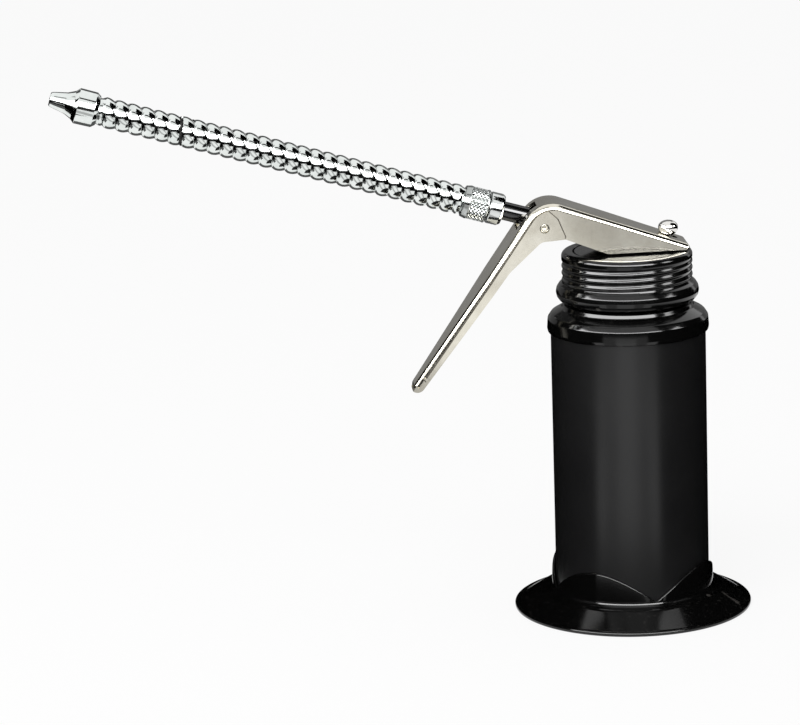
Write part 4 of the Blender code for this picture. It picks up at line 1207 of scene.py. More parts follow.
@dataclass
class Lever:
    """Nickel-plated channel lever, its pins and the knob nut on the rod."""

    # where it sits
    pivot_x: float = PIVOT_X
    pivot_z: float = 0.1367
    rod_x: float = ROD_X
    spout_rise: float = SPOUT_RISE
    squeeze: float = 15.0
    gap: float = GAP
    running_gap: float = 0.00015
    # sheet and bends
    sheet: float = 0.0010
    bend: float = 0.0022
    rear_bend: float = 0.0012
    bend_segments: int = 9
    corner: float = 0.0016
    overrun: float = 0.002
    # widths, from the middle plane
    half_width: float = 0.0093
    tip_half_width: float = 0.0046
    rear_half_width: float = 0.0078
    # knee and trigger
    knee_ahead: float = 0.0011
    knee_above: float = 0.0103
    knee_radius: float = 0.0105
    lean: float = 34.8
    trigger_length: float = 0.0802
    tip_depth: float = 0.0034
    tip_round: float = 0.0027
    tip_taper_ahead: float = 0.0178
    grip_depth: float = 0.0053
    grip_start: float = 0.0270
    # rear arm
    top_slope: float = 20.0
    rear_reach: float = 0.0500
    rear_taper: float = 0.0275
    throat_drop: float = 0.0048
    throat_rear: float = 0.0072
    heel_reach: float = 0.0215
    heel_gap: float = 0.0005
    # slots for the rod and the outlet tube
    slot_half_width: float = 0.0026
    slot_half_length: float = 0.0034
    tube_radius: float = 0.0032
    tube_above: float = 0.0011
    tube_low_gap: float = 0.0017
    tube_side_gap: float = 0.0006
    # pins
    pin_radius: float = 0.0015
    pin_dome: float = 0.00025
    dimple: float = 0.0007
    pin_steps: int = 32
    # raised flanges, with a dark strip of painted shade in the crease round them
    raised: float = 0.0004
    crease: float = 0.00045
    margin: float = 0.0006
    edge_margin: float = 0.0004
    tip_share: float = 0.08
    flange_step: float = 5.0
    edge_segments: int = 4
    edge_angle: float = 50.0
    # the step's two corners, behind and above the pivot in widths of the corner
    step_places: tuple[tuple[float, float], ...] = ((2.75, 1.9), (3.7, -0.45))
    # knob
    knob_dome: float = 0.0023
    knob_foot: float = 0.6
    knob_tuck: float = -50.0
    knob_step: int = 8
    knob_steps: int = 64

    def knee(self) -> Vector:
        """Return the corner where the lever's two outer faces meet."""
        return Vector((self.pivot_x - self.knee_ahead, self.pivot_z + self.knee_above))

    def tapers(self) -> tuple[float, float]:
        """Return where along X the lever starts to narrow, towards tip and rear."""
        return self.knee().x - self.tip_taper_ahead, self.pivot_x + self.rear_reach - self.rear_taper

    def half(self, x: float) -> float:
        """Work out half the lever's width.

        Args:
            x: The place along X.

        Returns:
            Half the width there.
        """
        tip_taper, rear_taper = self.tapers()
        tip_x = self.knee().x - self.trigger_length * math.sin(math.radians(self.lean))
        to_tip = max((tip_taper - x) / (tip_taper - tip_x), 0.0)
        to_rear = max((x - rear_taper) / self.rear_taper, 0.0)
        half = self.half_width - (self.half_width - self.tip_half_width) * to_tip
        return half - (self.half_width - self.rear_half_width) * to_rear

    def corners(self, inset: float, lower: float) -> list[Corner]:
        """Lay out the lever's side.

        Args:
            inset: How far the closed sides lie inside the outer face.
            lower: How far the open side is lowered.

        Returns:
            The corners from the tip over the knee to the rear and back.
        """
        lean, slope = math.radians(self.lean), math.radians(self.top_slope)
        down = Vector((-math.sin(lean), -math.cos(lean)))
        inward = Vector((math.cos(lean), -math.sin(lean)))
        back = Vector((math.cos(slope), -math.sin(slope)))
        knee = self.knee()
        knee_in = knee + (down + back).normalized() * (inset / math.sin(down.angle(back) / 2))
        web_tip = knee + down * (self.trigger_length - inset) + inward * inset
        edge_tip = knee + down * (self.trigger_length - inset) + inward * (self.tip_depth + lower)
        tip_taper, rear_taper = self.tapers()
        web_taper = web_tip.lerp(knee_in, (tip_taper - web_tip.x) / (knee_in.x - web_tip.x))
        grip = knee + down * self.grip_start + inward * (self.grip_depth + lower)
        edge_taper = edge_tip.lerp(grip, (tip_taper - edge_tip.x) / (grip.x - edge_tip.x))
        rear_x = self.pivot_x + self.rear_reach - inset
        rear_top = knee_in + back * ((rear_x - knee_in.x) / back.x)
        top_taper = knee_in + back * ((rear_taper - knee_in.x) / back.x)
        _, cap_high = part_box("screw_cap")
        heel = cap_high.z + self.heel_gap - lower
        throat = self.pivot_z - self.throat_drop - lower
        return [
            Corner(*web_tip), Corner(*web_taper), Corner(*knee_in, self.knee_radius - inset),
            Corner(*top_taper), Corner(*rear_top), Corner(rear_x, heel), Corner(rear_taper, heel),
            Corner(self.pivot_x + self.heel_reach, heel, self.corner * 2),
            Corner(self.pivot_x + self.throat_rear, throat + self.gap * 2, self.corner),
            Corner(self.pivot_x - self.knee_ahead, throat, self.corner * 2),
            Corner(*grip, self.corner * 5), Corner(*edge_taper), Corner(*edge_tip, self.tip_round),
        ]

    def shell(self, name: str, inset: float, lower: float) -> bpy.types.Object:
        """Build the lever's outer or inner form as a solid.

        Args:
            name: The object's name.
            inset: How far it lies inside the outer face.
            lower: How far the open side is lowered.

        Returns:
            The solid with its long edges rounded.
        """
        corners = self.corners(inset, lower)
        outline = rounded(corners, step=4.0)
        # the bent sides run from the tip over the knee to the rear's lower corner
        last_web = outline.index((corners[5].across, corners[5].along))
        piece_bm = bmesh.new()
        near, far = (
            [piece_bm.verts.new((x, sign * (self.half(x) - inset), z)) for x, z in outline]
            for _, sign in SIDES
        )
        for side in (near, far):
            piece_bm.faces.new(side)
        for index in range(len(outline)):
            piece_bm.faces.new((near[index - 1], near[index], far[index], far[index - 1]))
        for side in (near, far):
            for taper in self.tapers():
                ends = [vert for vert in side if abs(vert.co.x - taper) < WELD]
                bmesh.ops.connect_verts(piece_bm, verts=ends)
        weights = piece_bm.edges.layers.float.new("bevel_weight_edge")
        rear_share = (self.rear_bend - inset) / (self.bend - inset)
        for side in (near, far):
            for index in range(last_web + 1):
                edge = piece_bm.edges.get((side[index - 1], side[index]))
                at_rear = min(vert.co.x for vert in edge.verts) > self.tapers()[1] - self.gap
                edge[weights] = rear_share if at_rear else 1.0
        piece_bm.edges.get((near[0], far[0]))[weights] = 1.0
        piece_bm.edges.get((near[last_web - 1], far[last_web - 1]))[weights] = rear_share
        piece = finish_mesh(piece_bm, name)
        bevel = piece.modifiers.new("bend", "BEVEL")
        bevel.limit_method = "WEIGHT"
        bevel.offset_type = "OFFSET"
        bevel.width = self.bend - inset
        bevel.segments = self.bend_segments
        bevel.use_clamp_overlap = False
        piece.modifiers.new("flat_faces", "TRIANGULATE")
        settle(piece)
        return piece

    def swung(self, along: float, above: float, swing: float) -> tuple[float, float]:
        """Place a point near the pivot.

        Args:
            along: Distance along the spout.
            above: Distance above it.
            swing: Degrees by which the direction is swung up.

        Returns:
            The point in XZ.
        """
        rise = math.radians(self.spout_rise + swing)
        x = self.pivot_x - along * math.cos(rise) + above * math.sin(rise)
        return x, self.pivot_z + along * math.sin(rise) + above * math.cos(rise)

    def tube_slot(self) -> bpy.types.Object:
        """Build the tool that cuts the way for the outlet tube, over the lever's whole swing.

        Returns:
            The tool.
        """
        low = self.tube_above - self.tube_radius - self.tube_low_gap
        high = self.tube_above + self.tube_radius + self.tube_side_gap
        far = self.knee_radius * 2
        fan = [
            self.swung(self.tube_radius, low, 0.0), self.swung(far, low, 0.0), self.swung(far, high, 0.0),
            self.swung(far, high, self.squeeze), self.swung(self.tube_radius, high, self.squeeze),
        ]
        return extruded("tube_slot", fan, self.tube_radius + self.tube_side_gap)

    def rod_slot(self) -> bpy.types.Object:
        """Build the tool that cuts the rod's slot into the rear arm.

        Returns:
            The tool.
        """
        web_z = self.knee().y - (self.rod_x - self.knee().x) * math.tan(math.radians(self.top_slope))
        shift = self.slot_half_length - self.slot_half_width
        loop = arc((shift, 0.0), self.slot_half_width, -90.0, 90.0, count=16)
        loop += [(-x, -y) for x, y in loop]
        slot_bm = bmesh.new()
        face = slot_bm.faces.new([slot_bm.verts.new((x, y, -self.overrun)) for x, y in loop])
        grown = bmesh.ops.extrude_face_region(slot_bm, geom=[face])
        raised = [item for item in grown["geom"] if isinstance(item, bmesh.types.BMVert)]
        bmesh.ops.translate(slot_bm, verts=raised, vec=(0.0, 0.0, self.overrun * 2))
        slope = Matrix.Rotation(math.radians(self.top_slope), 4, "Y")
        slot_bm.transform(Matrix.Translation((self.rod_x, 0.0, web_z)) @ slope)
        return finish_mesh(slot_bm, "rod_slot")

    def pin_bore(self) -> bpy.types.Object:
        """Build the tool that cuts the pins' holes.

        Returns:
            The tool.
        """
        reach = self.half_width + self.overrun
        radius = self.pin_radius + self.running_gap
        line = Matrix.Translation((self.pivot_x, 0.0, self.pivot_z)) @ Matrix.Rotation(math.pi / 2, 4, "X")
        outline = [(0.0, -reach), (radius, -reach), (radius, reach), (0.0, reach)]
        return lathe("pin_bore", outline, self.pin_steps, stand=line)

    def build_lever(self, finishes: Finishes) -> bpy.types.Object:
        """Build and dress the pressed lever.

        Args:
            finishes: The can's materials.

        Returns:
            The lever.
        """
        piece = self.shell("pressed_lever", 0.0, 0.0)
        cut(piece, self.shell("inside", self.sheet, self.overrun))
        for tool in (self.tube_slot, self.pin_bore, self.rod_slot):
            cut(piece, tool())
        even_normals(piece)
        return dress(piece, Body.LEVER, finishes.nickel, ["lever"])

    def flange_outline(self, inset: float, behind: float) -> Outline:
        """Lay out the raised part of a flange, which ends in a step behind the pivot.

        Args:
            inset: How far its upper side lies inside the lever's outer face.
            behind: How far the step is moved towards the rear.

        Returns:
            The places along X and Z.
        """
        places = [Vector((c.across, c.along)) for c in self.corners(inset, -self.edge_margin)]
        taper_web, knee, rear_web = places[1], places[2], places[4]
        throat_rear, throat_front, grip, edge_taper = places[8:12]
        tip_web = places[0].lerp(taper_web, self.tip_share)
        edge_tip = places[12].lerp(edge_taper, self.tip_share)
        pivot = Vector((self.pivot_x + behind, self.pivot_z))
        step = [tuple(pivot + Vector(place) * self.corner) for place in self.step_places]
        bend = Corner(*knee, self.knee_radius - inset)
        web = [Corner(*tip_web), Corner(*taper_web), bend, Corner(*rear_web)]
        over_knee = rounded(web, step=self.flange_step)
        upper = [place for place in over_knee[1:-1] if place[0] < self.pivot_x + self.corner]
        around = rounded(
            [
                Corner(*upper[0]), Corner(*upper[-1]), Corner(*step[0], self.margin),
                Corner(*step[1], self.margin * 2),
                Corner(throat_rear[0] + behind, throat_rear[1], self.margin),
                Corner(*throat_front, self.corner * 2), Corner(*grip, self.corner * 5), Corner(*edge_taper),
                Corner(*edge_tip, self.margin * 3), Corner(*tip_web, self.margin * 1.5),
            ],
            step=self.flange_step,
        )
        return upper + around[2:]

    def flange_plate(
        self, name: str, sign: float, outline: Outline, rise: float, bevel: float
    ) -> bpy.types.Object:
        """Build a plate on one flange.

        Args:
            name: The object's name.
            sign: -1 for the near flange, 1 for the far one.
            outline: The plate's outline along X and Z.
            rise: How far it stands out.
            bevel: The width of its rounded edge.

        Returns:
            The plate with the pin's hole.
        """
        piece_bm = bmesh.new()
        rings = [
            [piece_bm.verts.new((x, sign * (self.half(x) + side), z)) for x, z in outline]
            for side in (-self.sheet / 2, rise)
        ]
        for ring in rings:
            piece_bm.faces.new(ring)
            tapered = [vert for vert in ring if abs(vert.co.x - self.tapers()[0]) < WELD]
            bmesh.ops.connect_verts(piece_bm, verts=tapered)
        for index in range(len(outline)):
            piece_bm.faces.new((rings[0][index - 1], rings[0][index], rings[1][index], rings[1][index - 1]))
        piece = finish_mesh(piece_bm, name)
        edge = piece.modifiers.new("edge", "BEVEL")
        edge.width = bevel
        edge.segments = self.edge_segments
        edge.limit_method = "ANGLE"
        edge.angle_limit = math.radians(self.edge_angle)
        settle(piece)
        cut(piece, self.pin_bore())
        even_normals(piece)
        return piece

    def build_raised_flanges(self, finishes: Finishes) -> Pieces:
        """Build and dress the raised part of each flange and the painted shade strip in its crease.

        Args:
            finishes: The can's materials.

        Returns:
            The plates and creases.
        """
        pieces = []
        raised = self.flange_outline(self.bend, 0.0)
        crease = self.flange_outline(self.bend - self.crease, self.crease)
        for side, sign in SIDES:
            plate = self.flange_plate("raised_flange_" + side, sign, raised, self.raised, self.raised * 0.9)
            pieces.append(dress(plate, Body.LEVER, finishes.nickel))
            # painted shade: a thin dark strip in the crease round the raised part
            seam = self.flange_plate("flange_crease_" + side, sign, crease, self.crease / 8, self.crease / 16)
            pieces.append(dress(seam, Body.LEVER, finishes.darkened))
        return pieces

    def build_pins(self, finishes: Finishes) -> Pieces:
        """Build and dress the two pivot pins, each with a small dimple.

        Args:
            finishes: The can's materials.

        Returns:
            The pins.
        """
        pieces = []
        for side, sign in SIDES:
            low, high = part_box("pivot_pin_" + side)
            depth = high.y - low.y
            outline = rounded(
                [
                    Corner(0.0, 0.0), Corner(self.pin_radius, 0.0, self.pin_dome),
                    Corner(self.pin_radius, depth, self.pin_dome),
                    Corner(self.dimple, depth, self.pin_dome / 4),
                    Corner(0.0, depth - self.dimple * 1.4),
                ],
                step=15.0,
            )
            inner = high.y if sign < 0 else low.y
            turn = Matrix.Rotation(-sign * math.pi / 2, 4, "X")
            stand = Matrix.Translation((self.pivot_x, inner, self.pivot_z)) @ turn
            piece = lathe("pin_" + side, outline, self.pin_steps, stand=stand)
            pieces.append(dress(piece, Body.HEAD, finishes.nickel, ["pivot_pin_" + side]))
        return pieces

    def build_knob(self, finishes: Finishes) -> bpy.types.Object:
        """Build and dress the knob nut on the pump rod.

        Args:
            finishes: The can's materials.

        Returns:
            The knob.
        """
        low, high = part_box("rod_nut")
        radius = high.y
        centre = high.z - self.knob_dome
        ball = arc((0.0, centre), radius, self.knob_tuck, 0.0, count=12)
        top = [
            (radius * math.cos(angle), centre + self.knob_dome * math.sin(angle))
            for angle in map(math.radians, range(self.knob_step, 90, self.knob_step))
        ]
        foot = ball[0][0] * self.knob_foot
        outline = [(foot, low.z), *ball, *top, (0.0, high.z), (0.0, low.z + radius), (foot, low.z + radius)]
        stand = Matrix.Translation((self.rod_x, 0.0, 0.0))
        piece = lathe("knob_nut", outline, self.knob_steps, stand=stand)
        return dress(piece, Body.ROD, finishes.chrome, ["rod_nut"])

    def build(self, finishes: Finishes) -> Pieces:
        """Build and dress the lever, its raised flanges, the pins and the knob.

        Args:
            finishes: The can's materials.

        Returns:
            The pieces.
        """
        return [
            self.build_lever(finishes), *self.build_raised_flanges(finishes), *self.build_pins(finishes),
            self.build_knob(finishes),
        ]


@dataclass
class Spout:
    """Outlet tube, collar, knurled ferrule, ribbed hose and nozzle on one rising axis.

    Every start and end is a distance along that axis.
    """

    start_x: float = PIVOT_X
    start_z: float = 0.1378
    rise: float = SPOUT_RISE
    gap: float = GAP
    steps: int = 128
    # outlet tube
    tube_radius: float = 0.0032
    tube_bore: float = 0.0020
    shank_radius: float = 0.0024
    passage: float = 0.0007
    tube_start: float = 0.0025
    tube_shoulder: float = 0.0051
    tube_end: float = 0.02235
    tube_clearance: float = 0.00015
    tube_steps: int = 96
    # collar and ferrule
    collar_start: float = 0.0141
    collar_length: float = 0.0049
    collar_radius: float = 0.0055
    ferrule_length: float = 0.0087
    ferrule_radius: float = 0.00575
    ferrule_stop: float = 0.0032
    socket: float = 0.00475
    knurl_depth: float = 0.0005
    knurl_teeth: int = 24
    knurl_slant: float = 1.2
    knurl_skin: float = 0.985
    knurl_step: float = 0.00014
    knurl_steps: int = 360
    # hose
    hose_start: float = 0.0228
    hose_length: float = 0.1375
    hose_radius: float = 0.0052
    hose_valley: float = 0.00438
    hose_end_radius: float = 0.00445
    hose_bore: float = 0.0036
    rib_pitch: float = 0.00454
    rib_fullness: float = 0.72
    rib_lean: float = 1.25
    rib_run_out: float = 0.35
    rib_rows: int = 26
    # the winding that stands open, and the packing in it
    open_winding: float = 0.1222
    open_half_width: float = 0.0005
    open_floor: float = 0.0040
    packing: float = 0.00045
    packing_points: tuple[int, int] = (96, 8)
    # nozzle
    nozzle_socket_depth: float = 0.0050
    nozzle_length: float = 0.0168
    nozzle_bore: float = 0.0009
    nozzle_bore_length: float = 0.006
    # millimetres back from the tip, radius and bend
    nozzle_turning: tuple[tuple[float, float, float], ...] = (
        (16.8, 4.9, 0.3), (15.4, 6.0, 0.6), (9.5, 6.1, 0.35), (8.8, 5.45, 0.25), (8.2, 4.85, 0.5),
        (5.6, 3.62, 2.0), (1.3, 2.72, 0.5), (0.35, 2.45, 0.2), (0.0, 2.1, 0.15),
    )

    def stand(self) -> Matrix:
        """Return the matrix that lays a turned piece on the spout's axis."""
        tip = Matrix.Rotation(math.radians(self.rise - 90.0), 4, "Y")
        return Matrix.Translation((self.start_x, 0.0, self.start_z)) @ tip

    def ferrule_start(self) -> float:
        """Return where along the spout the ferrule starts."""
        return self.collar_start + self.collar_length + self.gap

    def build_tube(self, finishes: Finishes) -> bpy.types.Object:
        """Build and dress the outlet tube.

        Args:
            finishes: The can's materials.

        Returns:
            The tube.
        """
        bore_start = self.tube_shoulder + self.tube_bore
        outline = rounded(
            [
                Corner(self.passage, self.tube_start), Corner(self.shank_radius, self.tube_start),
                Corner(self.shank_radius, self.tube_shoulder),
                Corner(self.tube_radius, self.tube_shoulder, self.gap),
                Corner(self.tube_radius, self.tube_end), Corner(self.tube_bore, self.tube_end),
                Corner(self.tube_bore, bore_start), Corner(self.passage, bore_start - self.passage),
            ],
            step=20.0,
        )
        piece = lathe("spout_tube", outline, self.tube_steps, stand=self.stand())
        return dress(piece, Body.HEAD, finishes.tube_black, ["outlet_tube"])

    def build_collar(self, finishes: Finishes) -> bpy.types.Object:
        """Build and dress the smooth collar.

        Args:
            finishes: The can's materials.

        Returns:
            The collar.
        """
        hole = self.tube_radius + self.tube_clearance
        end = self.collar_start + self.collar_length
        outline = rounded(
            [
                Corner(hole, self.collar_start),
                Corner(self.collar_radius * 0.9, self.collar_start, self.gap),
                Corner(self.collar_radius, self.collar_start + self.gap * 3, self.gap * 3),
                Corner(self.collar_radius, end, self.gap * 1.5), Corner(hole, end),
            ],
            step=9.0,
        )
        piece = lathe("smooth_collar", outline, self.steps, stand=self.stand())
        return dress(piece, Body.HEAD, finishes.zinc, ["spout_collar"])

    def build_ferrule(self, finishes: Finishes) -> bpy.types.Object:
        """Build and dress the ferrule with its crossed knurl.

        Args:
            finishes: The can's materials.

        Returns:
            The ferrule.
        """
        start = self.ferrule_start()
        end = start + self.ferrule_length
        hole = self.tube_radius + self.tube_clearance
        outside = filled(
            rounded(
                [
                    Corner(hole, start), Corner(self.ferrule_radius, start, self.gap * 2),
                    Corner(self.ferrule_radius, end - self.gap * 6, self.gap * 2),
                    Corner(self.ferrule_radius - self.gap * 1.4, end, self.gap), Corner(self.socket, end),
                ],
                step=15.0,
            ),
            self.knurl_step,
        )
        outline = outside + [(self.socket, start + self.ferrule_stop), (hole, start + self.ferrule_stop)]
        spread = self.ferrule_radius * FULL_TURN

        def knurl(radius: Grid, angle: Grid, height: Grid) -> Moved:
            """Press two crossed sets of grooves into the outside.

            Args:
                radius: The points' radii.
                angle: Their angles.
                height: Their heights.

            Returns:
                The new radii and heights.
            """
            round_share = angle / FULL_TURN * self.knurl_teeth
            along_share = (height - start) * self.knurl_teeth / spread * self.knurl_slant
            left = np.abs((round_share + along_share) % 1.0 - 0.5)
            right = np.abs((round_share - along_share) % 1.0 - 0.5)
            depth = self.knurl_depth * (1 - 2 * np.minimum(left, right))
            inside = np.minimum(height - start - self.gap * 2, end - self.gap * 7 - height)
            pressed = radius - depth * np.clip(inside / self.gap, 0.0, 1.0)
            return np.where(radius > self.ferrule_radius * self.knurl_skin, pressed, radius), height

        piece = lathe("knurled_ferrule", outline, self.knurl_steps, knurl, self.stand())
        # the knurl's zinc carries painted shade
        return dress(piece, Body.HEAD, finishes.shaded_knurl_zinc, ["hose_ferrule"])

    def build_hose(self, finishes: Finishes) -> Pieces:
        """Build and dress the hose, wound in one helical rib, and the packing its open winding shows.

        Args:
            finishes: The can's materials.

        Returns:
            The hose and its packing.
        """
        ribs_start = self.ferrule_start() + self.ferrule_length + self.gap
        end = self.hose_start + self.hose_length
        ribs_end = end - self.nozzle_socket_depth
        ribs = round((ribs_end - ribs_start) / self.rib_pitch)
        pitch = (ribs_end - ribs_start) / ribs
        open_turn = round((self.open_winding - ribs_start) / pitch)
        rows = np.linspace(ribs_start, ribs_end, ribs * self.rib_rows + 1)
        outline = [(self.hose_end_radius, self.hose_start)]
        outline += [(self.hose_radius, float(row)) for row in rows]
        outline += [(self.hose_end_radius, end), (self.hose_bore, end), (self.hose_bore, self.hose_start)]

        def wind(radius: Grid, angle: Grid, height: Grid) -> Moved:
            """Shape the round-backed rib and one winding that stands a little open.

            Args:
                radius: The points' radii.
                angle: Their angles.
                height: Their heights.

            Returns:
                The new radii and heights.
            """
            turns = (height - ribs_start) / pitch - angle / FULL_TURN
            leaning = (turns % 1.0) ** self.rib_lean
            back = np.clip(1 - (2 * leaning - 1) ** 2, 0.0, 1.0) ** self.rib_fullness
            from_end = np.minimum(height - ribs_start, ribs_end - height)
            inside = np.clip(from_end / (pitch * self.rib_run_out), 0.0, 1.0)
            rib = self.hose_valley + (self.hose_radius - self.hose_valley) * back
            rib = self.hose_end_radius + (rib - self.hose_end_radius) * inside
            off = np.abs(turns - open_turn) * pitch
            rib = np.where(off < self.open_half_width, self.open_floor, rib)
            return np.where(radius > self.hose_radius - self.gap / 4, rib, radius), height

        hose = lathe("ribbed_hose", outline, self.steps, wind, self.stand())
        dress(hose, Body.HEAD, finishes.bright_steel, ["hose"])
        start = ribs_start + open_turn * pitch
        packing = coil(
            "hose_packing", self.open_floor + self.packing, self.packing, (start, start + pitch), 1,
            *self.packing_points, self.stand(),
        )
        return [hose, dress(packing, Body.HEAD, finishes.rubber)]

    def build_nozzle(self, finishes: Finishes) -> bpy.types.Object:
        """Build and dress the turned nozzle.

        Args:
            finishes: The can's materials.

        Returns:
            The nozzle.
        """
        hose_end = self.hose_start + self.hose_length
        start = hose_end + self.gap - self.nozzle_socket_depth
        tip = start + self.nozzle_length
        outside = [
            Corner(radius * MILLIMETRE, tip - back * MILLIMETRE, bend * MILLIMETRE)
            for back, radius, bend in self.nozzle_turning
        ]
        inside = [
            Corner(self.nozzle_bore, tip), Corner(self.nozzle_bore, tip - self.nozzle_bore_length),
            Corner(self.hose_bore, hose_end + self.gap), Corner(self.socket, hose_end + self.gap),
            Corner(self.socket, start),
        ]
        outline = rounded([*outside, *inside], step=6.0)
        piece = lathe("turned_nozzle", outline, self.steps, stand=self.stand())
        return dress(piece, Body.HEAD, finishes.bright_steel, ["nozzle"])

    def build(self, finishes: Finishes) -> Pieces:
        """Build and dress the whole spout, from the outlet tube to the nozzle.

        Args:
            finishes: The can's materials.

        Returns:
            The pieces.
        """
        return [
            self.build_tube(finishes), self.build_collar(finishes), self.build_ferrule(finishes),
            *self.build_hose(finishes), self.build_nozzle(finishes),
        ]


@dataclass
class Pump:
    """Pump head and the pieces inside, most of them the frame's own nodes."""

    rod_x: float = ROD_X
    spring_radius: float = 0.0025
    spring_wire: float = 0.00035
    spring_turns: int = 10
    turn_points: int = 24
    wire_points: int = 10
    edge: float = 0.0003
    edge_segments: int = 2
    upward: float = 0.9

    def build_head(self, finishes: Finishes) -> bpy.types.Object:
        """Give the casting its paint, glossy on the plate inside the cap, and softened edges.

        Args:
            finishes: The can's materials.

        Returns:
            The casting.
        """
        head = repaint("pump_head", finishes.cast_black)
        head.data.materials.append(finishes.gloss_black)
        cap_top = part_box("screw_cap")[1].z
        for polygon in head.data.polygons:
            level = (head.matrix_world @ polygon.center).z
            polygon.material_index = int(polygon.normal.z > self.upward and level < cap_top)
        bevel = head.modifiers.new("cast_edges", "BEVEL")
        bevel.width = self.edge
        bevel.segments = self.edge_segments
        bevel.limit_method = "ANGLE"
        bevel.angle_limit = SHARP_ANGLE
        return head

    def build_inside(self, finishes: Finishes) -> Pieces:
        """Give the hidden pieces their metals and rubber.

        Args:
            finishes: The can's materials.

        Returns:
            The pieces.
        """
        by_finish = {
            (Slot.GLOSS_BLACK, finishes.satin_black): ("can_bottom",),
            (Slot.RUBBER, finishes.rubber): ("cap_gasket", "rod_seal", "piston_cup"),
            (Slot.STEEL, finishes.steel): ("pump_rod", "gland_washer", "dip_tube"),
            (Slot.BRASS, finishes.brass): (
                "rod_bush", "pump_cylinder", "piston", "piston_nut", "foot_valve_body",
            ),
            (Slot.BRIGHT_STEEL, finishes.chrome): ("foot_valve_ball",),
        }
        return [
            repaint(node, material) for (slot, material), nodes in by_finish.items() for node in nodes
        ]

    def build_spring(self, finishes: Finishes) -> bpy.types.Object:
        """Build the return spring between bush and piston.

        Args:
            finishes: The can's materials.

        Returns:
            The spring.
        """
        low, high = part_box("return_spring")
        ends = (low.z + self.spring_wire, high.z - self.spring_wire)
        stand = Matrix.Translation((self.rod_x, 0.0, 0.0))
        piece = coil(
            "coil_spring", self.spring_radius, self.spring_wire, ends, self.spring_turns, self.turn_points,
            self.wire_points, stand,
        )
        piece.data.materials.append(finishes.steel)
        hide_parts("return_spring")
        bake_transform(piece)
        return piece

    def build(self, finishes: Finishes) -> Pieces:
        """Dress the casting and the hidden pieces and build the spring."""
        return [self.build_head(finishes), *self.build_inside(finishes), self.build_spring(finishes)]


@dataclass(frozen=True)
class Card:
    """A curved card round the can that only reflections see.

    Azimuths are degrees from the camera's side towards the right. The lower and upper edge are each
    a distance from the can's axis and a height.
    """

    name: str
    azimuths: tuple[float, float]
    lower: tuple[float, float]
    upper: tuple[float, float]
    level: float
    step: float = 6.0

    def mesh(self) -> bmesh.types.BMesh:
        """Build the card's faces.

        Returns:
            The new mesh.
        """
        first, last = self.azimuths
        count = math.ceil((last - first) / self.step)
        card_bm = bmesh.new()
        columns = []
        for part in range(count + 1):
            turn = math.radians(first + (last - first) * part / count)
            columns.append([
                card_bm.verts.new((reach * math.sin(turn), -reach * math.cos(turn), height))
                for reach, height in (self.lower, self.upper)
            ])
        for (low, high), (next_low, next_high) in zip(columns, columns[1:]):
            card_bm.faces.new((low, next_low, next_high, high))
        return card_bm


@dataclass(frozen=True)
class Strip:
    """A straight card that only reflections see, turned to face a place."""

    name: str
    start: Place
    end: Place
    faced: Place
    width: float
    level: float

    def mesh(self) -> bmesh.types.BMesh:
        """Build the strip's face.

        Returns:
            The new mesh.
        """
        start, end = Vector(self.start), Vector(self.end)
        across = (end - start).cross(Vector(self.faced) - start).normalized() * self.width / 2
        corners = (start + across, end + across, end - across, start - across)
        card_bm = bmesh.new()
        card_bm.faces.new([card_bm.verts.new(corner) for corner in corners])
        return card_bm


@dataclass(frozen=True)
class Softbox:
    """A large square lamp that faces the can."""

    name: str
    centre: Place
    size: tuple[float, float]
    power: float
    aim: Place = (-0.03, 0.0, 0.1)


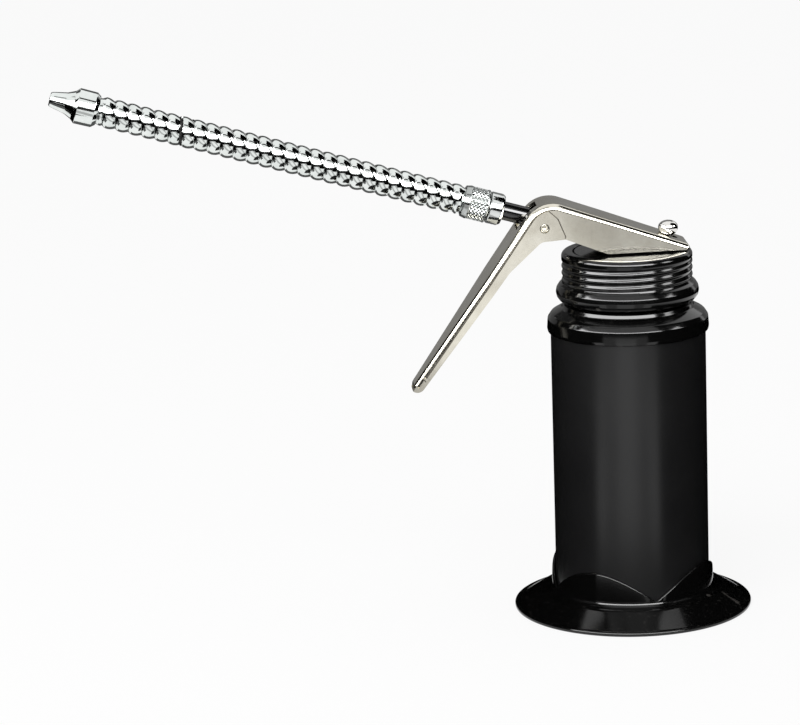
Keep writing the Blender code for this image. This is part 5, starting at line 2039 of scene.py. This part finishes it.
@dataclass
class Studio:
    """Pale floor, white surround, softboxes and cards, and the camera."""

    floor_half: float = 6.0
    floor_colour: Colour = (0.9, 0.9, 0.9)
    floor_roughness: float = 0.9
    white_share: float = 0.85
    ambient: float = 0.7
    focal_pixels: float = 3800.0
    image_width: float = 800.0
    sensor: float = 36.0
    camera_place: Place = (-0.15365, -1.26974, 0.394)
    yaw: float = -3.36
    pitch: float = 13.44
    roll: float = -1.86
    softboxes: tuple[Softbox, ...] = (
        Softbox("key_softbox", (-0.55, -0.85, 1.1), (0.9, 0.6), 9.0),
    )
    cards: tuple[Card, ...] = (
        Card("key_front", (-88.0, 43.0), (0.85, 0.36), (0.85, 0.78), 13.0),
        Card("right_strip", (62.0, 80.0), (0.85, 0.36), (0.80, 0.78), 8.0),
        Card("front_horizon", (-88.0, 60.0), (1.0, 0.02), (0.9, 0.28), 0.0),
        Card("front_floor", (-42.0, 20.0), (0.36, 0.002), (1.0, 0.002), 0.93),
        Card("near_floor", (-80.0, 60.0), (0.044, 0.001), (0.115, 0.001), 0.02),
        Card("left_fade", (-42.0, -24.0), (0.115, 0.003), (1.0, 0.003), 0.5),
        Card("right_fade", (4.0, 20.0), (0.115, 0.003), (1.0, 0.003), 0.5),
        Card("dark_floor", (20.0, 318.0), (0.4, 0.001), (1.3, 0.001), 0.0),
        Card("low_wall", (25.0, 315.0), (0.05, 0.0), (0.05, 0.093), 0.0),
        Card("nozzle_floor", (-78.0, -50.0), (0.28, 0.004), (0.5, 0.004), 0.1),
        Card("right_flag", (46.0, 128.0), (1.2, 0.0), (0.45, 1.35), 0.0),
        Card("left_gap", (262.0, 272.0), (1.2, 0.0), (0.6, 1.2), 0.0),
        Card("left_flag", (205.0, 262.0), (1.2, 0.15), (1.1, 0.62), 0.0),
        Card("left_low_flag", (222.0, 262.0), (1.15, 0.0), (1.15, 0.16), 0.05),
        Card("can_back_flag", (160.0, 200.0), (0.15, 0.10), (0.15, 0.30), 0.23),
        Card("back_flag", (160.0, 200.0), (1.2, 0.42), (1.15, 0.62), 0.05),
        Card("high_back", (150.0, 225.0), (1.15, 0.62), (1.0, 1.05), 0.08),
        Card("back_grey", (135.0, 225.0), (1.1, 0.0), (1.1, 0.46), 0.23),
    )
    strips: tuple[Strip, ...] = (
        Strip(
            "hose_strip", (-0.215, -0.068, 0.325), (-0.035, -0.068, 0.272), (-0.125, 0.0, 0.166), 0.024, 0.0
        ),
        Strip("under_spout", (-0.26, 0.225, 0.002), (-0.04, 0.225, 0.002), (-0.15, 0.225, 0.5), 0.35, 0.1),
    )

    @staticmethod
    def seen_as_white(sketch: Sketch) -> bpy.types.NodeSocket:
        """Mark the rays that show the background: camera, glossy and transmission.

        Args:
            sketch: The material's sketch.

        Returns:
            The socket of a value that is 1 for those rays.
        """
        rays = sketch.add("ShaderNodeLightPath")
        seen = sketch.math("MAXIMUM", rays.outputs["Is Camera Ray"], rays.outputs["Is Glossy Ray"])
        return sketch.math("MAXIMUM", seen, rays.outputs["Is Transmission Ray"])

    def build_floor(self) -> None:
        """Lay the pale floor, which keeps a soft shadow."""
        floor_bm = bmesh.new()
        half = self.floor_half
        square = ((-1, -1), (1, -1), (1, 1), (-1, 1))
        floor_bm.faces.new([floor_bm.verts.new((x * half, y * half, 0.0)) for x, y in square])
        floor = finish_mesh(floor_bm, "floor")
        material = bpy.data.materials.new("pale_floor")
        material.use_nodes = True
        sketch = Sketch(material.node_tree)
        shader = material.node_tree.nodes["Principled BSDF"]
        shader.inputs["Base Color"].default_value = (*self.floor_colour, 1.0)
        shader.inputs["Roughness"].default_value = self.floor_roughness
        shader.inputs["Specular IOR Level"].default_value = 0.0
        glow = sketch.add("ShaderNodeEmission")
        glow.inputs["Color"].default_value = WHITE
        share = sketch.math("MULTIPLY", self.seen_as_white(sketch), self.white_share)
        blend = sketch.add("ShaderNodeMixShader")
        sketch.feed(blend, 0, share)
        sketch.feed(blend, 1, shader.outputs[0])
        sketch.feed(blend, 2, glow.outputs[0])
        sketch.feed(material.node_tree.nodes["Material Output"], "Surface", blend.outputs[0])
        floor.data.materials.append(material)

    def build_world(self) -> None:
        """Make the surround: white where it is seen, softer where it lights."""
        world = bpy.data.worlds.new("studio")
        world.use_nodes = True
        bpy.context.scene.world = world
        sketch = Sketch(world.node_tree)
        back = world.node_tree.nodes["Background"]
        back.inputs["Color"].default_value = WHITE
        sketch.feed(back, "Strength", sketch.ranged(self.seen_as_white(sketch), 0.0, 1.0, self.ambient, 1.0))

    @staticmethod
    def hang(name: str, card_bm: bmesh.types.BMesh, level: float) -> None:
        """Hang a card that only glossy rays see.

        Args:
            name: The card's name.
            card_bm: Its faces.
            level: How bright it is.
        """
        piece = finish_mesh(card_bm, name)
        material = bpy.data.materials.new(name)
        material.use_nodes = True
        sketch = Sketch(material.node_tree)
        glow = sketch.add("ShaderNodeEmission")
        glow.inputs["Color"].default_value = WHITE
        glow.inputs["Strength"].default_value = level
        sketch.feed(material.node_tree.nodes["Material Output"], "Surface", glow.outputs[0])
        piece.data.materials.append(material)
        for ray in ("camera", "diffuse", "shadow", "transmission", "volume_scatter"):
            setattr(piece, "visible_" + ray, False)

    def build_cards(self) -> None:
        """Hang the curved cards and the straight strips."""
        for card in (*self.cards, *self.strips):
            self.hang(card.name, card.mesh(), card.level)

    def build_lamps(self) -> None:
        """Hang the softboxes."""
        for box in self.softboxes:
            lamp = bpy.data.lights.new(box.name, "AREA")
            lamp.shape = "RECTANGLE"
            lamp.size, lamp.size_y = box.size
            lamp.energy = box.power
            piece = bpy.data.objects.new(box.name, lamp)
            bpy.context.scene.collection.objects.link(piece)
            piece.location = box.centre
            away = Vector(box.centre) - Vector(box.aim)
            piece.rotation_euler = away.to_track_quat("Z", "Y").to_euler()
            piece.visible_glossy = False

    def build_camera(self) -> None:
        """Set the camera at the photograph's angle."""
        data = bpy.data.cameras.new("camera")
        data.sensor_width = self.sensor
        data.lens = self.focal_pixels / self.image_width * self.sensor
        camera = bpy.data.objects.new("camera", data)
        bpy.context.scene.collection.objects.link(camera)
        yaw, pitch, roll = (math.radians(angle) for angle in (self.yaw, self.pitch, self.roll))
        back = Vector((math.sin(yaw) * math.cos(pitch), -math.cos(yaw) * math.cos(pitch), math.sin(pitch)))
        right = Vector((math.cos(yaw), math.sin(yaw), 0.0))
        up = back.cross(right)
        level = Matrix((
            right * math.cos(roll) + up * math.sin(roll), up * math.cos(roll) - right * math.sin(roll), back
        )).transposed()
        camera.matrix_world = Matrix.Translation(self.camera_place) @ level.to_4x4()
        bpy.context.scene.camera = camera

    def build(self) -> None:
        """Build the whole studio."""
        bpy.context.scene.view_settings.view_transform = "Standard"
        self.build_camera()
        self.build_floor()
        self.build_world()
        self.build_cards()
        self.build_lamps()
        cards = len(self.cards) + len(self.strips)
        LOG.info("studio: softboxes %d, cards %d", len(self.softboxes), cards)


def clear_default_scene() -> None:
    """Remove lamps and cameras that a new file may hold."""
    for piece in list(bpy.data.objects):
        if piece.type in {"LIGHT", "CAMERA"}:
            bpy.data.objects.remove(piece, do_unlink=True)


def main() -> None:
    """Build the studio, then the can piece by piece, and report each piece."""
    logging.basicConfig(level=logging.INFO, format="%(name)s: %(message)s")
    clear_default_scene()
    Studio().build()
    finishes = Finishes(Effects())
    for assembly in (BasePan(), CanShell(), ScrewCap(), Pump(), Lever(), Spout()):
        for piece in assembly.build(finishes):
            material = piece.data.materials[0].name
            LOG.info("%s: %d faces in %s", piece.name, len(piece.data.polygons), material)


if __name__ == "__main__":
    main()
